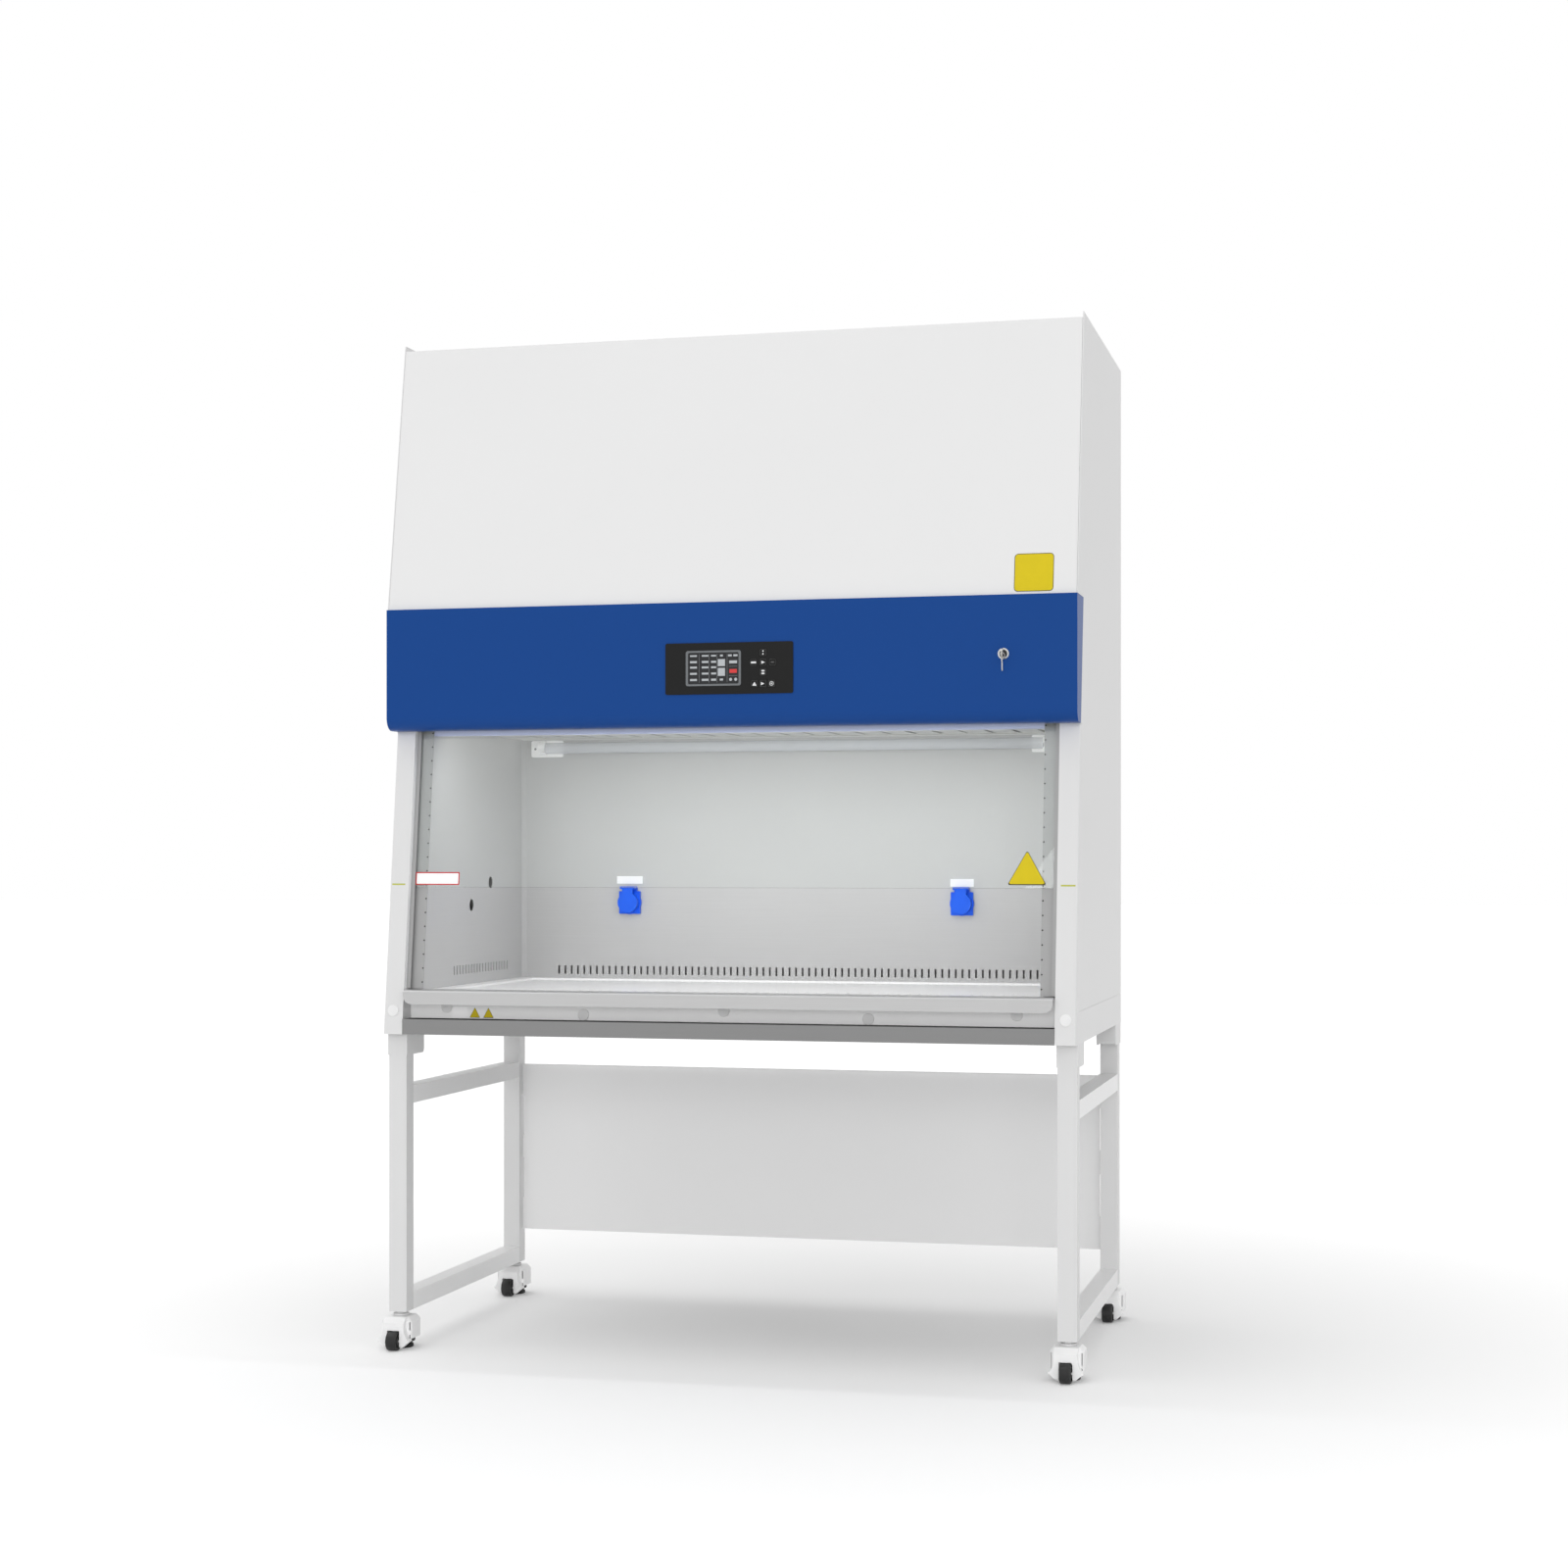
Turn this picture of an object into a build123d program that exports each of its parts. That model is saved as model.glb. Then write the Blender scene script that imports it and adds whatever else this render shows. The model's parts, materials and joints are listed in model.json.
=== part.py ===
"""Class II biosafety cabinet on a stand with levelling castors.

Frame: X to the user's right, Y to the back, Z up, millimetres.  The origin is on the floor,
under the middle of the whole object's box.  Most of the front leans back, so parts that follow
the lean are drawn in the front plane's own directions: across, up the slope, and outwards.
"""
from build123d import *
from math import cos, pi, radians, sin, tan
import os

# ------------------------------------------------------------------ cabinet body
body_width = 1500.0
body_depth = 793.0
underside = 684.0            # bottom of the cabinet above the floor
body_height = 1509.0         # from the underside to the top of the side panels
sheet = 2.0                  # folded steel skin
front_lean = 6.87            # lean of the window's frame, degrees from upright
side_top_proud = 12.0        # how far the side panels stand above the top panel
skirt_seam = 67.0            # height of the seam near the foot of each side panel
seam_width = 1.5
seam_cut = 0.8
part_gap = 0.5               # open joint between two neighbouring outer panels
fold = 16.0                  # return folds that stiffen the panels

post_width = 44.0            # hollow post at each side of the window
post_depth = 45.0
post_wall = 3.5
post_round = 8.0

# ------------------------------------------------------------------ blue front cover
cover_bottom = 656.0         # above the underside
cover_height = 261.0
cover_front = 21.0           # back from the foot of the window frame
cover_end_low = 56.0         # depth of the cover's ends at their foot
cover_end_high = 97.0        # and at their top
cover_chin_round = 27.0
cover_brow_round = 5.0
cover_return = 34.0          # fold along the top; the sash drive passes behind it
brow_lip = 7.0               # the white panel starts this far behind the cover's face
brow_to_top = 99.0           # how far the side panels lean back from there to the top

# ------------------------------------------------------------------ sash and its guides
glass_setback = 17.0         # glass face behind the post face, square to the slope
glass_thickness = 6.0
glass_length = 655.0
glass_edge_gap = 3.0         # glass edge to the guide's web
sash_opening = 225.0         # working opening, up the slope from the armrest
sash_extra_lift = 175.0      # further lift for cleaning
guide_wall = 2.0
guide_lip = 9.0              # front lip of the guide channel
guide_flange = 34.0          # rear flange, which shows behind the glass
guide_glass_gap = 1.5
guide_head_room = 35.0       # guide above the top of the lifted glass

# ------------------------------------------------------------------ work zone
liner_inset = 72.0           # inner face of the side liners from the cabinet's side
liner_back = 690.0           # inner face of the back liner from the front edge
liner_wall = 2.0
liner_gap = 0.5              # liner to the guide's flange
liner_under_tray = 18.0      # liners end below the tray's top
work_height = 572.0          # tray top to the ceiling
corner_strip = 9.0
tray_drop = 2.0              # tray top below the armrest's top
tray_thickness = 8.0
tray_gap = 1.0
tray_dish = 4.0
tray_rim = 38.0
tray_grille_zone = 95.0
back_slot_size = (4.5, 20.0)
back_slot_pitch = 15.85
back_slot_margin = 91.5      # first slot's middle from the side liner
back_slot_over_tray = 19.0
side_slot_size = (6.0, 20.0)
side_slot_pitch = 18.0
side_slot_count = 20
side_slot_middle = 407.0     # back from the front edge
side_slot_over_tray = 34.0
grille_slot_size = (5.0, 28.0)
grille_slot_pitch = 22.0
grille_row_pitch = 36.4
grille_rows = 2
grille_slot_margin = 49.5    # first slot's middle from the tray's edge
service_radius = 13.5        # holes for taps through the left liner
service_low = (345.0, 179.0)     # back from the front edge, above the tray
service_high = (470.0, 230.0)

# ------------------------------------------------------------------ foot of the front
base_height = 33.0           # base pan
kick_height = 60.0           # lower front panel, from the base pan to the armrest's skin
kick_setback = 50.0
armrest_proud = 2.0          # in front of the foot of the window frame
armrest_drop = 31.0
armrest_wall = 3.0
armrest_nose = 8.0
armrest_corner = 28.0
armrest_end_gap = 3.0
plug_radius = 12.5
plug_height = 3.0
plug_end_inset = 84.0        # last plug from the post
plug_low = 12.0              # height of the even plugs above the base pan
plug_high = 24.5             # and of the odd ones
post_plug_up = 51.0

# ------------------------------------------------------------------ controls
panel_middle = (19.0, 121.0)     # right of the middle, above the cover's foot
panel_size = (277.0, 108.0)
panel_proud = 2.0
panel_corner = 4.0
housing_size = (250.0, 92.0)
housing_depth = 18.0
housing_gap = 1.0
display_offset = (-33.5, 0.5)
display_size = (120.0, 74.0)
display_thickness = 2.4
display_proud = 0.3
key_size = 15.0
key_thickness = 5.0
key_proud = 0.5
key_travel = 0.8
key_gap = 0.4
key_end_gap = 0.5
key_chamfer = 0.4
keypad_middle = (74.0, 11.0)     # centre key, from the panel's middle
key_pitch = 20.5
key_row_drop = 44.5          # lower row of keys below the centre key
key_row_pitch = 18.5
lock_spot = (151.0, 140.0)   # in from the cover's right end, above its foot
lock_ring_radius = 11.5
lock_ring_proud = 3.0
lock_barrel_radius = 9.0
lock_barrel_length = 26.0
lock_plug_radius = 8.0
lock_plug_length = 20.0
lock_clearance = 0.05
key_blade = 2.2
key_bow_radius = 10.0
key_neck = 7.0
key_eye_radius = 2.5
key_reach = 14.0             # middle of the bow in front of the ring

# ------------------------------------------------------------------ lamps and outlets
lamp_under_ceiling = 23.0
lamp_radius = 13.0
lamp_from_back = 34.0
lamp_plate = (80.0, 39.0)
lamp_plate_thickness = 3.0
lamp_plate_corner = 4.0
lamp_left_inset = 63.0       # holders from the side liners
lamp_right_inset = 80.0
holder_radius = 16.0
holder_hole = 9.0
holder_length = 16.0
holder_arm = 14.0
holder_mouth = 11.0
outlet_left_inset = 271.0    # outlets from the side liners
outlet_right_inset = 282.0
outlet_height = 181.0        # above the tray
outlet_size = (52.0, 54.0)
outlet_corner = 2.0
outlet_base = 8.0
outlet_round = 28.0
outlet_boss_radius = 24.0
outlet_boss = 14.0
outlet_well_radius = 19.0
outlet_well = 15.0
lid_thickness = 4.0
lid_gap = 0.3
lid_axis_rise = 35.0         # hinge pin above the middle of the outlet
lid_barrel = 26.0
lid_barrel_radius = 3.2
lid_pin_radius = 1.5
lid_pin_clearance = 0.05
lid_ear = 4.7
light_depth = 42.0
light_height = 18.0
light_round = 8.0
light_gap = 2.0

# ------------------------------------------------------------------ air handling
plenum_sash_gap = 9.4        # plenum behind the glass at its highest
filter_gap = 4.0             # filter to the back liner's line
filter_side = 38.0           # filter inside the side liners
filter_height = 78.0
filter_frame = 15.0
guard_wall = 2.0
guard_slot_size = (10.0, 140.0)
guard_slot_pitch = 60.0
guard_slot_margin = 39.0     # first slot's middle from the filter's side
guard_row_pitch = 156.8
guard_rows = 3
pleat_pitch = 44.0
pleat_sheet = 3.0
plenum_inset = 8.0           # plenum inside the filter's outline
plenum_top_gap = 118.0       # plenum top below the top panel
exhaust_inset = 420.0        # exhaust filter from the cabinet's sides
exhaust_front = 230.0
exhaust_back = 650.0
exhaust_slot_size = (12.0, 300.0)
exhaust_slot_pitch = 24.0
exhaust_slot_margin = 53.5   # first slot's middle from the filter's side
fan_up = 300.0               # fan axis above the supply filter
fan_radius = 140.0
fan_eye_radius = 85.0
fan_width = 100.0
fan_blades = 11
fan_blade_sheet = 3.0
fan_blade_curve = 140.0
fan_side_gap = 8.0
fan_tip_radius = 137.0
fan_sweep = 40.0
fan_shaft_radius = 10.0
fan_shaft_clearance = 0.05
fan_motor_radius = 62.0
fan_motor_length = 80.0
scroll_start = 165.0
scroll_growth = 75.0
scroll_mouth = 60.0
scroll_throat = 40.0
scroll_wall = 2.0

# ------------------------------------------------------------------ sash drive
belt_inset = 95.0            # each belt from the cabinet's side
belt_width = 10.0
belt_thickness = 2.0
belt_gap = 0.3
pulley_radius = 20.0
pulley_flange = 4.0
pulley_width = 12.0
pulley_teeth = 20
tooth_size = (1.2, 2.6)
flange_sheet = 1.5
drive_out = 15.0             # pulley axes in front of the post face
return_up = 700.0            # up the slope from the foot
drive_up = 1200.0
shaft_radius = 10.0
journal_radius = 6.0
journal_clearance = 0.05
bearing_plate = 8.0
bearing_gap = 1.5
bearing_height = 50.0
bearing_shelf = 4.0
clamp_width = 30.0
clamp_height = 40.0
clamp_over_glass = 16.0
clamp_wall = 3.0
motor_radius = 26.0
motor_wall_gap = 2.0

# ------------------------------------------------------------------ stand
leg_bottom = 80.0
leg_size = 40.0
leg_wall = 2.0
leg_side_inset = 2.0
leg_front_inset = 31.0
leg_rear_inset = 7.0
rail_height = 38.0
upper_rail_bottom = 530.0
bracket_drop = 47.0
bracket_depth = 98.0
bracket_wall = 2.0
bracket_round = 9.0
back_sheet_inset = 22.0      # stand's back panel from the cabinet's back
back_sheet_bottom = 159.0
back_sheet_height = 403.0
back_sheet_wall = 1.5
back_sheet_fold = 12.0
back_sheet_gap = 4.0
back_sheet_slot = 97.0
back_sheet_tab = 56.0

# ------------------------------------------------------------------ levelling castors
castor_trail = 44.0
wheel_radius = 21.0
wheel_width = 24.0
wheel_bevel = 2.0
wheel_hub_radius = 11.0
hub_sink = 2.0
tyre_rim = 4.0
axle_radius = 2.5
axle_clearance = 0.05
hood_half = 35.0
hood_front = 32.0            # in front of the swivel axis
hood_rear = 33.0
hood_top = 70.5
hood_wall = 3.0
hood_deck = 10.5
hood_shoulder = 9.0
hood_corner = 13.0
hood_skirt = 24.0            # side walls end above the floor
nose_front = 47.0            # nose over the wheel, from the swivel axis
nose_rear = 22.0
nose_half = 24.0
nose_edge = 59.0             # foot of the nose's sloping top
nose_straight = 50.0         # the sides flare out below this height
nose_flare = (27.0, 34.0)
nose_bevel = 4.0
window_half = 14.0
window_top = 43.5
cheek_wall = 5.0
cheek_tip = 6.0
cheek_corner = 20.0
cheek_tip_front = 34.0
axle_head = 0.8
stem_radius = 6.0
stem_clearance = 0.05
stem_depth = 8.5
stem_end_gap = 0.4
leg_plug_height = 6.0
bearing_disc_radius = 17.0
bearing_disc = 4.0
disc_gap = 0.5
nut_across = 19.0
foot_offset = 8.0            # levelling foot behind the swivel axis
foot_radius = 24.0
foot_pad = 8.0
dial_radius = 27.5
dial_bottom = 13.0
dial_height = 8.0
screw_radius = 4.0
screw_clearance = 0.05
screw_top = 50.0
boss_radius = 9.0
boss_bottom = 36.0
dial_window_half = 19.0
dial_window_top = 31.0

# ------------------------------------------------------------------ mains gland
gland_reach = 22.0
gland_spot = (190.0, 136.0)  # in from the right side, above the underside
gland_nut_across = 27.0
gland_nut = 6.0
gland_radius = 11.0
gland_bore = 4.5
gland_bevel = 2.5

# ------------------------------------------------------------------ places worked out from the sizes
front_reach = leg_front_inset + leg_size / 2 - castor_trail - wheel_radius
rear_reach = body_depth + gland_reach
y_front = -(front_reach + rear_reach) / 2
y_back = y_front + body_depth
half_width = body_width / 2
liner_half = half_width - liner_inset
belt_spot = half_width - belt_inset
body_top = underside + body_height
top_panel_top = body_top - side_top_proud
post_inner = half_width - post_width
cover_foot = underside + cover_bottom
cover_head = cover_foot + cover_height
cover_face = y_front + cover_front
cover_rear_low = cover_face + cover_end_low
cover_rear_high = cover_face + cover_end_high
brow_y = cover_face + brow_lip
brow_z = cover_head + part_gap
armrest_top = underside + base_height + kick_height + armrest_wall
tray_top = armrest_top - tray_drop
ceiling = tray_top + work_height
lean = radians(front_lean)
slope = Vector(0, sin(lean), cos(lean))
outwards = Vector(0, -cos(lean), sin(lean))
foot_edge = Vector(0, y_front, underside)
front_plane = Plane(origin=foot_edge, x_dir=(1, 0, 0), z_dir=outwards)


def side_plane(x):
    """Plane across the cabinet: its own x runs up the slope and its own y points outwards."""
    return Plane(origin=foot_edge + Vector(x, 0, 0), x_dir=slope, z_dir=(1, 0, 0))


def upright(y):
    """Upright plane facing the user at a depth; extruding it by a plus amount comes forwards."""
    return Plane.XZ.offset(-y)


def frame_y(z):
    """Depth of the post face at a height above the floor."""
    return y_front + (z - underside) * tan(lean)


def slope_at(z):
    """Distance up the slope to a height above the floor."""
    return (z - underside) / cos(lean)


def finish(piece, name):
    """Label a finished piece and write it."""
    piece.label = name
    export_step(piece, f"parts/{name}.step")


os.makedirs("parts", exist_ok=True)

# ------------------------------------------------------------------ side panels
# Each side is one folded skin: a flat outer wall whose front is folded into a hollow post.
# Behind the blue cover the wall steps back along the cover's end.  Inside, two plates carry
# the bearings of the sash drive.  The left one has holes for the pipes of the service taps.
post_head = slope_at(cover_head) - fold
window_head = slope_at(cover_foot - part_gap)
bearing_inner = post_inner - bearing_plate - bearing_height / 2

with BuildPart() as side_panel_right:
    with BuildSketch(Plane(origin=foot_edge - slope * post_depth, x_dir=(1, 0, 0), z_dir=slope)):
        with Locations((half_width - post_width / 2, post_depth / 2)):
            Rectangle(post_width, post_depth)
        outer_corner = vertices().group_by(Axis.X)[-1].sort_by(Axis.Y)[0]
        fillet(outer_corner, post_round)
    extrude(amount=window_head + post_depth)
    with BuildSketch(side_plane(post_inner)):
        with Locations((post_head / 2, -post_depth / 2)):
            Rectangle(post_head, post_depth)
    extrude(amount=post_width - sheet - part_gap)
    split(bisect_by=Plane.XY.offset(underside), keep=Keep.TOP)
    with BuildSketch(Plane.YZ.offset(half_width - sheet)):
        with BuildLine():
            Polyline(
                (y_front + 2 * post_round, underside),
                (frame_y(cover_foot) + 2 * post_round, cover_foot - part_gap),
                (cover_rear_low + part_gap, cover_foot - part_gap),
                (cover_rear_high + part_gap, brow_z),
                (brow_y, brow_z),
                (brow_y + brow_to_top, body_top),
                (y_back, body_top),
                (y_back, underside),
                close=True,
            )
        make_face()
    extrude(amount=sheet)
    with BuildSketch(side_plane(post_inner + post_wall)):
        with Locations((post_head / 2 - post_depth, -post_depth / 2)):
            Rectangle(post_head + post_depth, post_depth - 2 * post_wall)
    extrude(amount=post_width - 2 * post_wall, mode=Mode.SUBTRACT)
    for up in (return_up, drive_up):
        with BuildSketch(side_plane(bearing_inner)):
            with Locations((up, drive_out)):
                Rectangle(bearing_height, bearing_height)
        extrude(amount=bearing_plate)
        with BuildSketch(side_plane(bearing_inner)):
            with Locations((up - bearing_height / 2 + bearing_shelf / 2, drive_out)):
                Rectangle(bearing_shelf, bearing_height)
        extrude(amount=half_width - sheet - bearing_inner)
        with BuildSketch(side_plane(bearing_inner)):
            with Locations((up, drive_out)):
                Circle(journal_radius + journal_clearance)
        extrude(amount=bearing_plate, mode=Mode.SUBTRACT)
    with BuildSketch(Plane.YZ.offset(half_width - seam_cut)):
        with Locations(((y_front + y_back) / 2 + post_depth / 2, underside + skirt_seam)):
            Rectangle(body_depth - post_depth, seam_width)
    extrude(amount=seam_cut, mode=Mode.SUBTRACT)
finish(side_panel_right.part, "side_panel_right")

with BuildPart() as side_panel_left:
    mirror(side_panel_right.part, about=Plane.YZ)
    with BuildSketch(Plane.YZ.offset(-half_width)):
        for back, up in (service_low, service_high):
            with Locations((y_front + back, tray_top + up)):
                Circle(service_radius)
    extrude(amount=sheet, mode=Mode.SUBTRACT)
finish(side_panel_left.part, "side_panel_left")

# ------------------------------------------------------------------ front cover
# One folded and welded shell with closed ends, rounded under the chin.  It is open behind,
# and cut out for the control panel's housing and for the lock.
panel_x = panel_middle[0]
panel_z = cover_foot + panel_middle[1]
lock_x = half_width - lock_spot[0]
lock_z = cover_foot + lock_spot[1]

with BuildPart() as front_cover:
    with BuildSketch(Plane.YZ.offset(-half_width)):
        with BuildLine():
            Polyline(
                (cover_face, cover_foot),
                (cover_face, cover_head),
                (cover_rear_high, cover_head),
                (cover_rear_low, cover_foot),
                close=True,
            )
        make_face()
        front_corners = vertices().group_by(Axis.X)[0].sort_by(Axis.Y)
        fillet(front_corners[0], cover_chin_round)
        fillet(front_corners[1], cover_brow_round)
    extrude(amount=body_width)
    with BuildSketch(Plane.YZ.offset(-half_width + sheet)):
        with BuildLine():
            Polyline(
                (cover_face + sheet, cover_foot + sheet),
                (cover_face + sheet, cover_head - sheet),
                (cover_face + cover_return, cover_head - sheet),
                (cover_face + cover_return, cover_head),
                (cover_rear_high, cover_head),
                (cover_rear_high, cover_foot + sheet),
                close=True,
            )
        make_face()
        inner_corners = vertices().group_by(Axis.X)[0].sort_by(Axis.Y)
        fillet(inner_corners[0], cover_chin_round - sheet)
        fillet(inner_corners[1], cover_brow_round - sheet)
    extrude(amount=body_width - 2 * sheet, mode=Mode.SUBTRACT)
    with BuildSketch(upright(cover_face + sheet)):
        with Locations((panel_x, panel_z)):
            Rectangle(housing_size[0] + 2 * housing_gap, housing_size[1] + 2 * housing_gap)
        with Locations((lock_x, lock_z)):
            Circle(lock_barrel_radius + lock_clearance)
    extrude(amount=sheet, mode=Mode.SUBTRACT)
finish(front_cover.part, "front_cover")

# ------------------------------------------------------------------ upper front, top and back
# Flat skins between the side panels, with folded edges.
panel_half = half_width - sheet - part_gap
front_run = brow_to_top / (body_top - brow_z)
top_front_y = brow_y + (top_panel_top - brow_z) * front_run

with BuildPart() as upper_front_panel:
    with BuildSketch(Plane.YZ.offset(-panel_half)):
        with BuildLine():
            Polyline(
                (brow_y, brow_z),
                (top_front_y, top_panel_top),
                (top_front_y + sheet, top_panel_top),
                (brow_y + sheet + sheet * front_run, brow_z + sheet),
                (brow_y + fold, brow_z + sheet),
                (brow_y + fold, brow_z),
                close=True,
            )
        make_face()
    extrude(amount=2 * panel_half)
finish(upper_front_panel.part, "upper_front_panel")

top_y0 = top_front_y + sheet + part_gap
top_y1 = y_back - sheet
exhaust_y = y_front + (exhaust_front + exhaust_back) / 2
exhaust_half_width = half_width - exhaust_inset
exhaust_slot_count = int(2 * (exhaust_half_width - exhaust_slot_margin) / exhaust_slot_pitch) + 1

with BuildPart() as top_panel:
    with BuildSketch(Plane.YZ.offset(-panel_half)):
        with BuildLine():
            Polyline(
                (top_y0, top_panel_top),
                (top_y1, top_panel_top),
                (top_y1, top_panel_top - fold),
                (top_y1 - sheet, top_panel_top - fold),
                (top_y1 - sheet, top_panel_top - sheet),
                (top_y0 + sheet, top_panel_top - sheet),
                (top_y0 + sheet, top_panel_top - fold),
                (top_y0, top_panel_top - fold),
                close=True,
            )
        make_face()
    extrude(amount=2 * panel_half)
    with BuildSketch(Plane.XY.offset(top_panel_top)):
        with Locations((0, exhaust_y)):
            with GridLocations(exhaust_slot_pitch, 0, exhaust_slot_count, 1):
                Rectangle(*exhaust_slot_size)
    extrude(amount=-sheet, mode=Mode.SUBTRACT)
finish(top_panel.part, "top_panel")

gland_x = half_width - gland_spot[0]
gland_z = underside + gland_spot[1]

with BuildPart() as back_panel:
    with BuildSketch(upright(y_back)):
        with Locations((0, (underside + top_panel_top) / 2)):
            Rectangle(2 * panel_half, top_panel_top - underside)
        with Locations((gland_x, gland_z)):
            Circle(gland_bore, mode=Mode.SUBTRACT)
    extrude(amount=sheet)
finish(back_panel.part, "back_panel")

with BuildPart() as mains_gland:
    with BuildSketch(upright(y_back)):
        with Locations((gland_x, gland_z)):
            RegularPolygon(gland_nut_across / 2, 6, major_radius=False)
    extrude(amount=-gland_nut)
    with BuildSketch(upright(y_back + gland_nut)):
        with Locations((gland_x, gland_z)):
            Circle(gland_radius)
    extrude(amount=gland_nut - gland_reach)
    chamfer(edges().group_by(Axis.Y)[-1], gland_bevel)
    with BuildSketch(upright(y_back)):
        with Locations((gland_x, gland_z)):
            Circle(gland_bore)
    extrude(amount=-gland_reach, mode=Mode.SUBTRACT)
finish(mains_gland.part, "mains_gland")

# ------------------------------------------------------------------ base pan
# Open-topped pan under the whole cabinet.  It is narrower between the posts.
post_back = y_front + post_depth + fold
pan_front = y_front + part_gap

with BuildPart() as base_pan:
    with BuildSketch(Plane.XY.offset(underside)):
        with Locations((0, (pan_front + y_back - sheet) / 2)):
            Rectangle(2 * (post_inner - part_gap), y_back - sheet - pan_front)
        with Locations((0, (post_back + y_back - sheet) / 2)):
            Rectangle(2 * panel_half, y_back - sheet - post_back)
    extrude(amount=base_height)
    with BuildSketch(Plane.XY.offset(underside + sheet)):
        with Locations((0, (pan_front + y_back - sheet) / 2)):
            Rectangle(2 * (post_inner - part_gap - sheet), y_back - 3 * sheet - pan_front)
        with Locations((0, (post_back + y_back - sheet) / 2)):
            Rectangle(2 * (panel_half - sheet), y_back - 3 * sheet - post_back)
    extrude(amount=base_height - sheet, mode=Mode.SUBTRACT)
finish(base_pan.part, "base_pan")

# ------------------------------------------------------------------ lower front panel and its plugs
kick_y = y_front + kick_setback
kick_foot = underside + base_height
plug_pitch = (post_inner - plug_end_inset) / 2

with BuildPart() as lower_front_panel:
    with BuildSketch(upright(kick_y)):
        with Locations((0, kick_foot + kick_height / 2)):
            Rectangle(2 * (post_inner - part_gap), kick_height)
    extrude(amount=-sheet)
finish(lower_front_panel.part, "lower_front_panel")

with BuildPart() as cover_plugs:
    with BuildSketch(upright(kick_y)):
        for place in range(-2, 3):
            plug_up = plug_low if place % 2 else plug_high
            with Locations((place * plug_pitch, kick_foot + plug_up)):
                Circle(plug_radius)
    extrude(amount=plug_height)
    with BuildSketch(front_plane):
        with Locations(*[(side * (half_width - post_width / 2), post_plug_up) for side in (-1, 1)]):
            Circle(plug_radius)
    extrude(amount=plug_height)
    chamfer(faces().filter_by(lambda f: f.normal_at().Y < -0.9).edges(), plug_height / 3)
finish(cover_plugs.part, "cover_plugs")

# ------------------------------------------------------------------ armrest
# Bent plate: a nose with big rounded lower corners, and a flat shelf back to the tray.
armrest_front = y_front - armrest_proud
armrest_back = kick_y + sheet
armrest_half = post_inner - armrest_end_gap

with BuildPart() as armrest:
    with BuildSketch(Plane.YZ.offset(-armrest_half)):
        with BuildLine():
            Polyline(
                (armrest_front, armrest_top - armrest_drop),
                (armrest_front, armrest_top),
                (armrest_back, armrest_top),
                (armrest_back, armrest_top - armrest_wall),
                (armrest_front + armrest_wall, armrest_top - armrest_wall),
                (armrest_front + armrest_wall, armrest_top - armrest_drop),
                close=True,
            )
        make_face()
        bend = vertices().sort_by(lambda v: abs(v.X - armrest_front) + abs(v.Y - armrest_top))
        fillet(bend[0], armrest_nose)
        inner_bend = vertices().sort_by(
            lambda v: abs(v.X - armrest_front - armrest_wall) + abs(v.Y - armrest_top + armrest_wall)
        )
        fillet(inner_bend[0], armrest_nose - armrest_wall)
    extrude(amount=2 * armrest_half)
    ends = edges().filter_by(Axis.Y).group_by(Axis.Z)[0]
    fillet(ends, armrest_corner - armrest_nose)
finish(armrest.part, "armrest")

# ------------------------------------------------------------------ work tray
# Dished stainless worktop with an intake grille along its front.
tray_front = armrest_back + tray_gap
tray_back = y_front + liner_back - tray_gap
tray_half = liner_half - tray_gap
tray_middle = (tray_front + tray_back) / 2
dish_front = tray_front + tray_grille_zone
grille_slot_count = int(2 * (tray_half - grille_slot_margin) / grille_slot_pitch) + 1

with BuildPart() as work_tray:
    with BuildSketch(Plane.XY.offset(tray_top)):
        with Locations((0, tray_middle)):
            Rectangle(2 * tray_half, tray_back - tray_front)
    extrude(amount=-tray_thickness)
    with BuildSketch(Plane.XY.offset(tray_top)):
        with Locations((0, (dish_front + tray_back - tray_rim) / 2)):
            Rectangle(2 * (tray_half - tray_rim), tray_back - tray_rim - dish_front)
    extrude(amount=-tray_dish, mode=Mode.SUBTRACT)
    with BuildSketch(Plane.XY.offset(tray_top)):
        with Locations((0, tray_front + tray_grille_zone / 2)):
            with GridLocations(grille_slot_pitch, grille_row_pitch, grille_slot_count, grille_rows):
                Rectangle(*grille_slot_size)
    extrude(amount=-tray_thickness, mode=Mode.SUBTRACT)
finish(work_tray.part, "work_tray")

# ------------------------------------------------------------------ liners
# Stainless walls of the work zone.  Air leaves through the slots just above the tray.
flange_back = glass_setback + glass_thickness + guide_glass_gap + guide_wall
liner_front_back = (flange_back + liner_gap) / cos(lean)
liner_foot = tray_top - liner_under_tray
liner_y = y_front + liner_back
slot_y = y_front + side_slot_middle
back_slot_count = int(2 * (liner_half - back_slot_margin) / back_slot_pitch) + 1


def side_liner(inner_x, holes):
    """Flat side wall with a sloping front edge, a row of slots and round service holes."""
    with BuildPart() as wall:
        with BuildSketch(Plane.YZ.offset(inner_x)):
            with BuildLine():
                Polyline(
                    (tray_front, liner_foot),
                    (tray_front, armrest_top + part_gap),
                    (frame_y(armrest_top) + liner_front_back, armrest_top + part_gap),
                    (frame_y(ceiling) + liner_front_back, ceiling),
                    (liner_y, ceiling),
                    (liner_y, liner_foot),
                    close=True,
                )
            make_face()
            with Locations((slot_y, tray_top + side_slot_over_tray)):
                with GridLocations(side_slot_pitch, 0, side_slot_count, 1):
                    Rectangle(*side_slot_size, mode=Mode.SUBTRACT)
            for back, up in holes:
                with Locations((y_front + back, tray_top + up)):
                    Circle(service_radius, mode=Mode.SUBTRACT)
        extrude(amount=liner_wall if inner_x > 0 else -liner_wall)
    return wall.part


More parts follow.
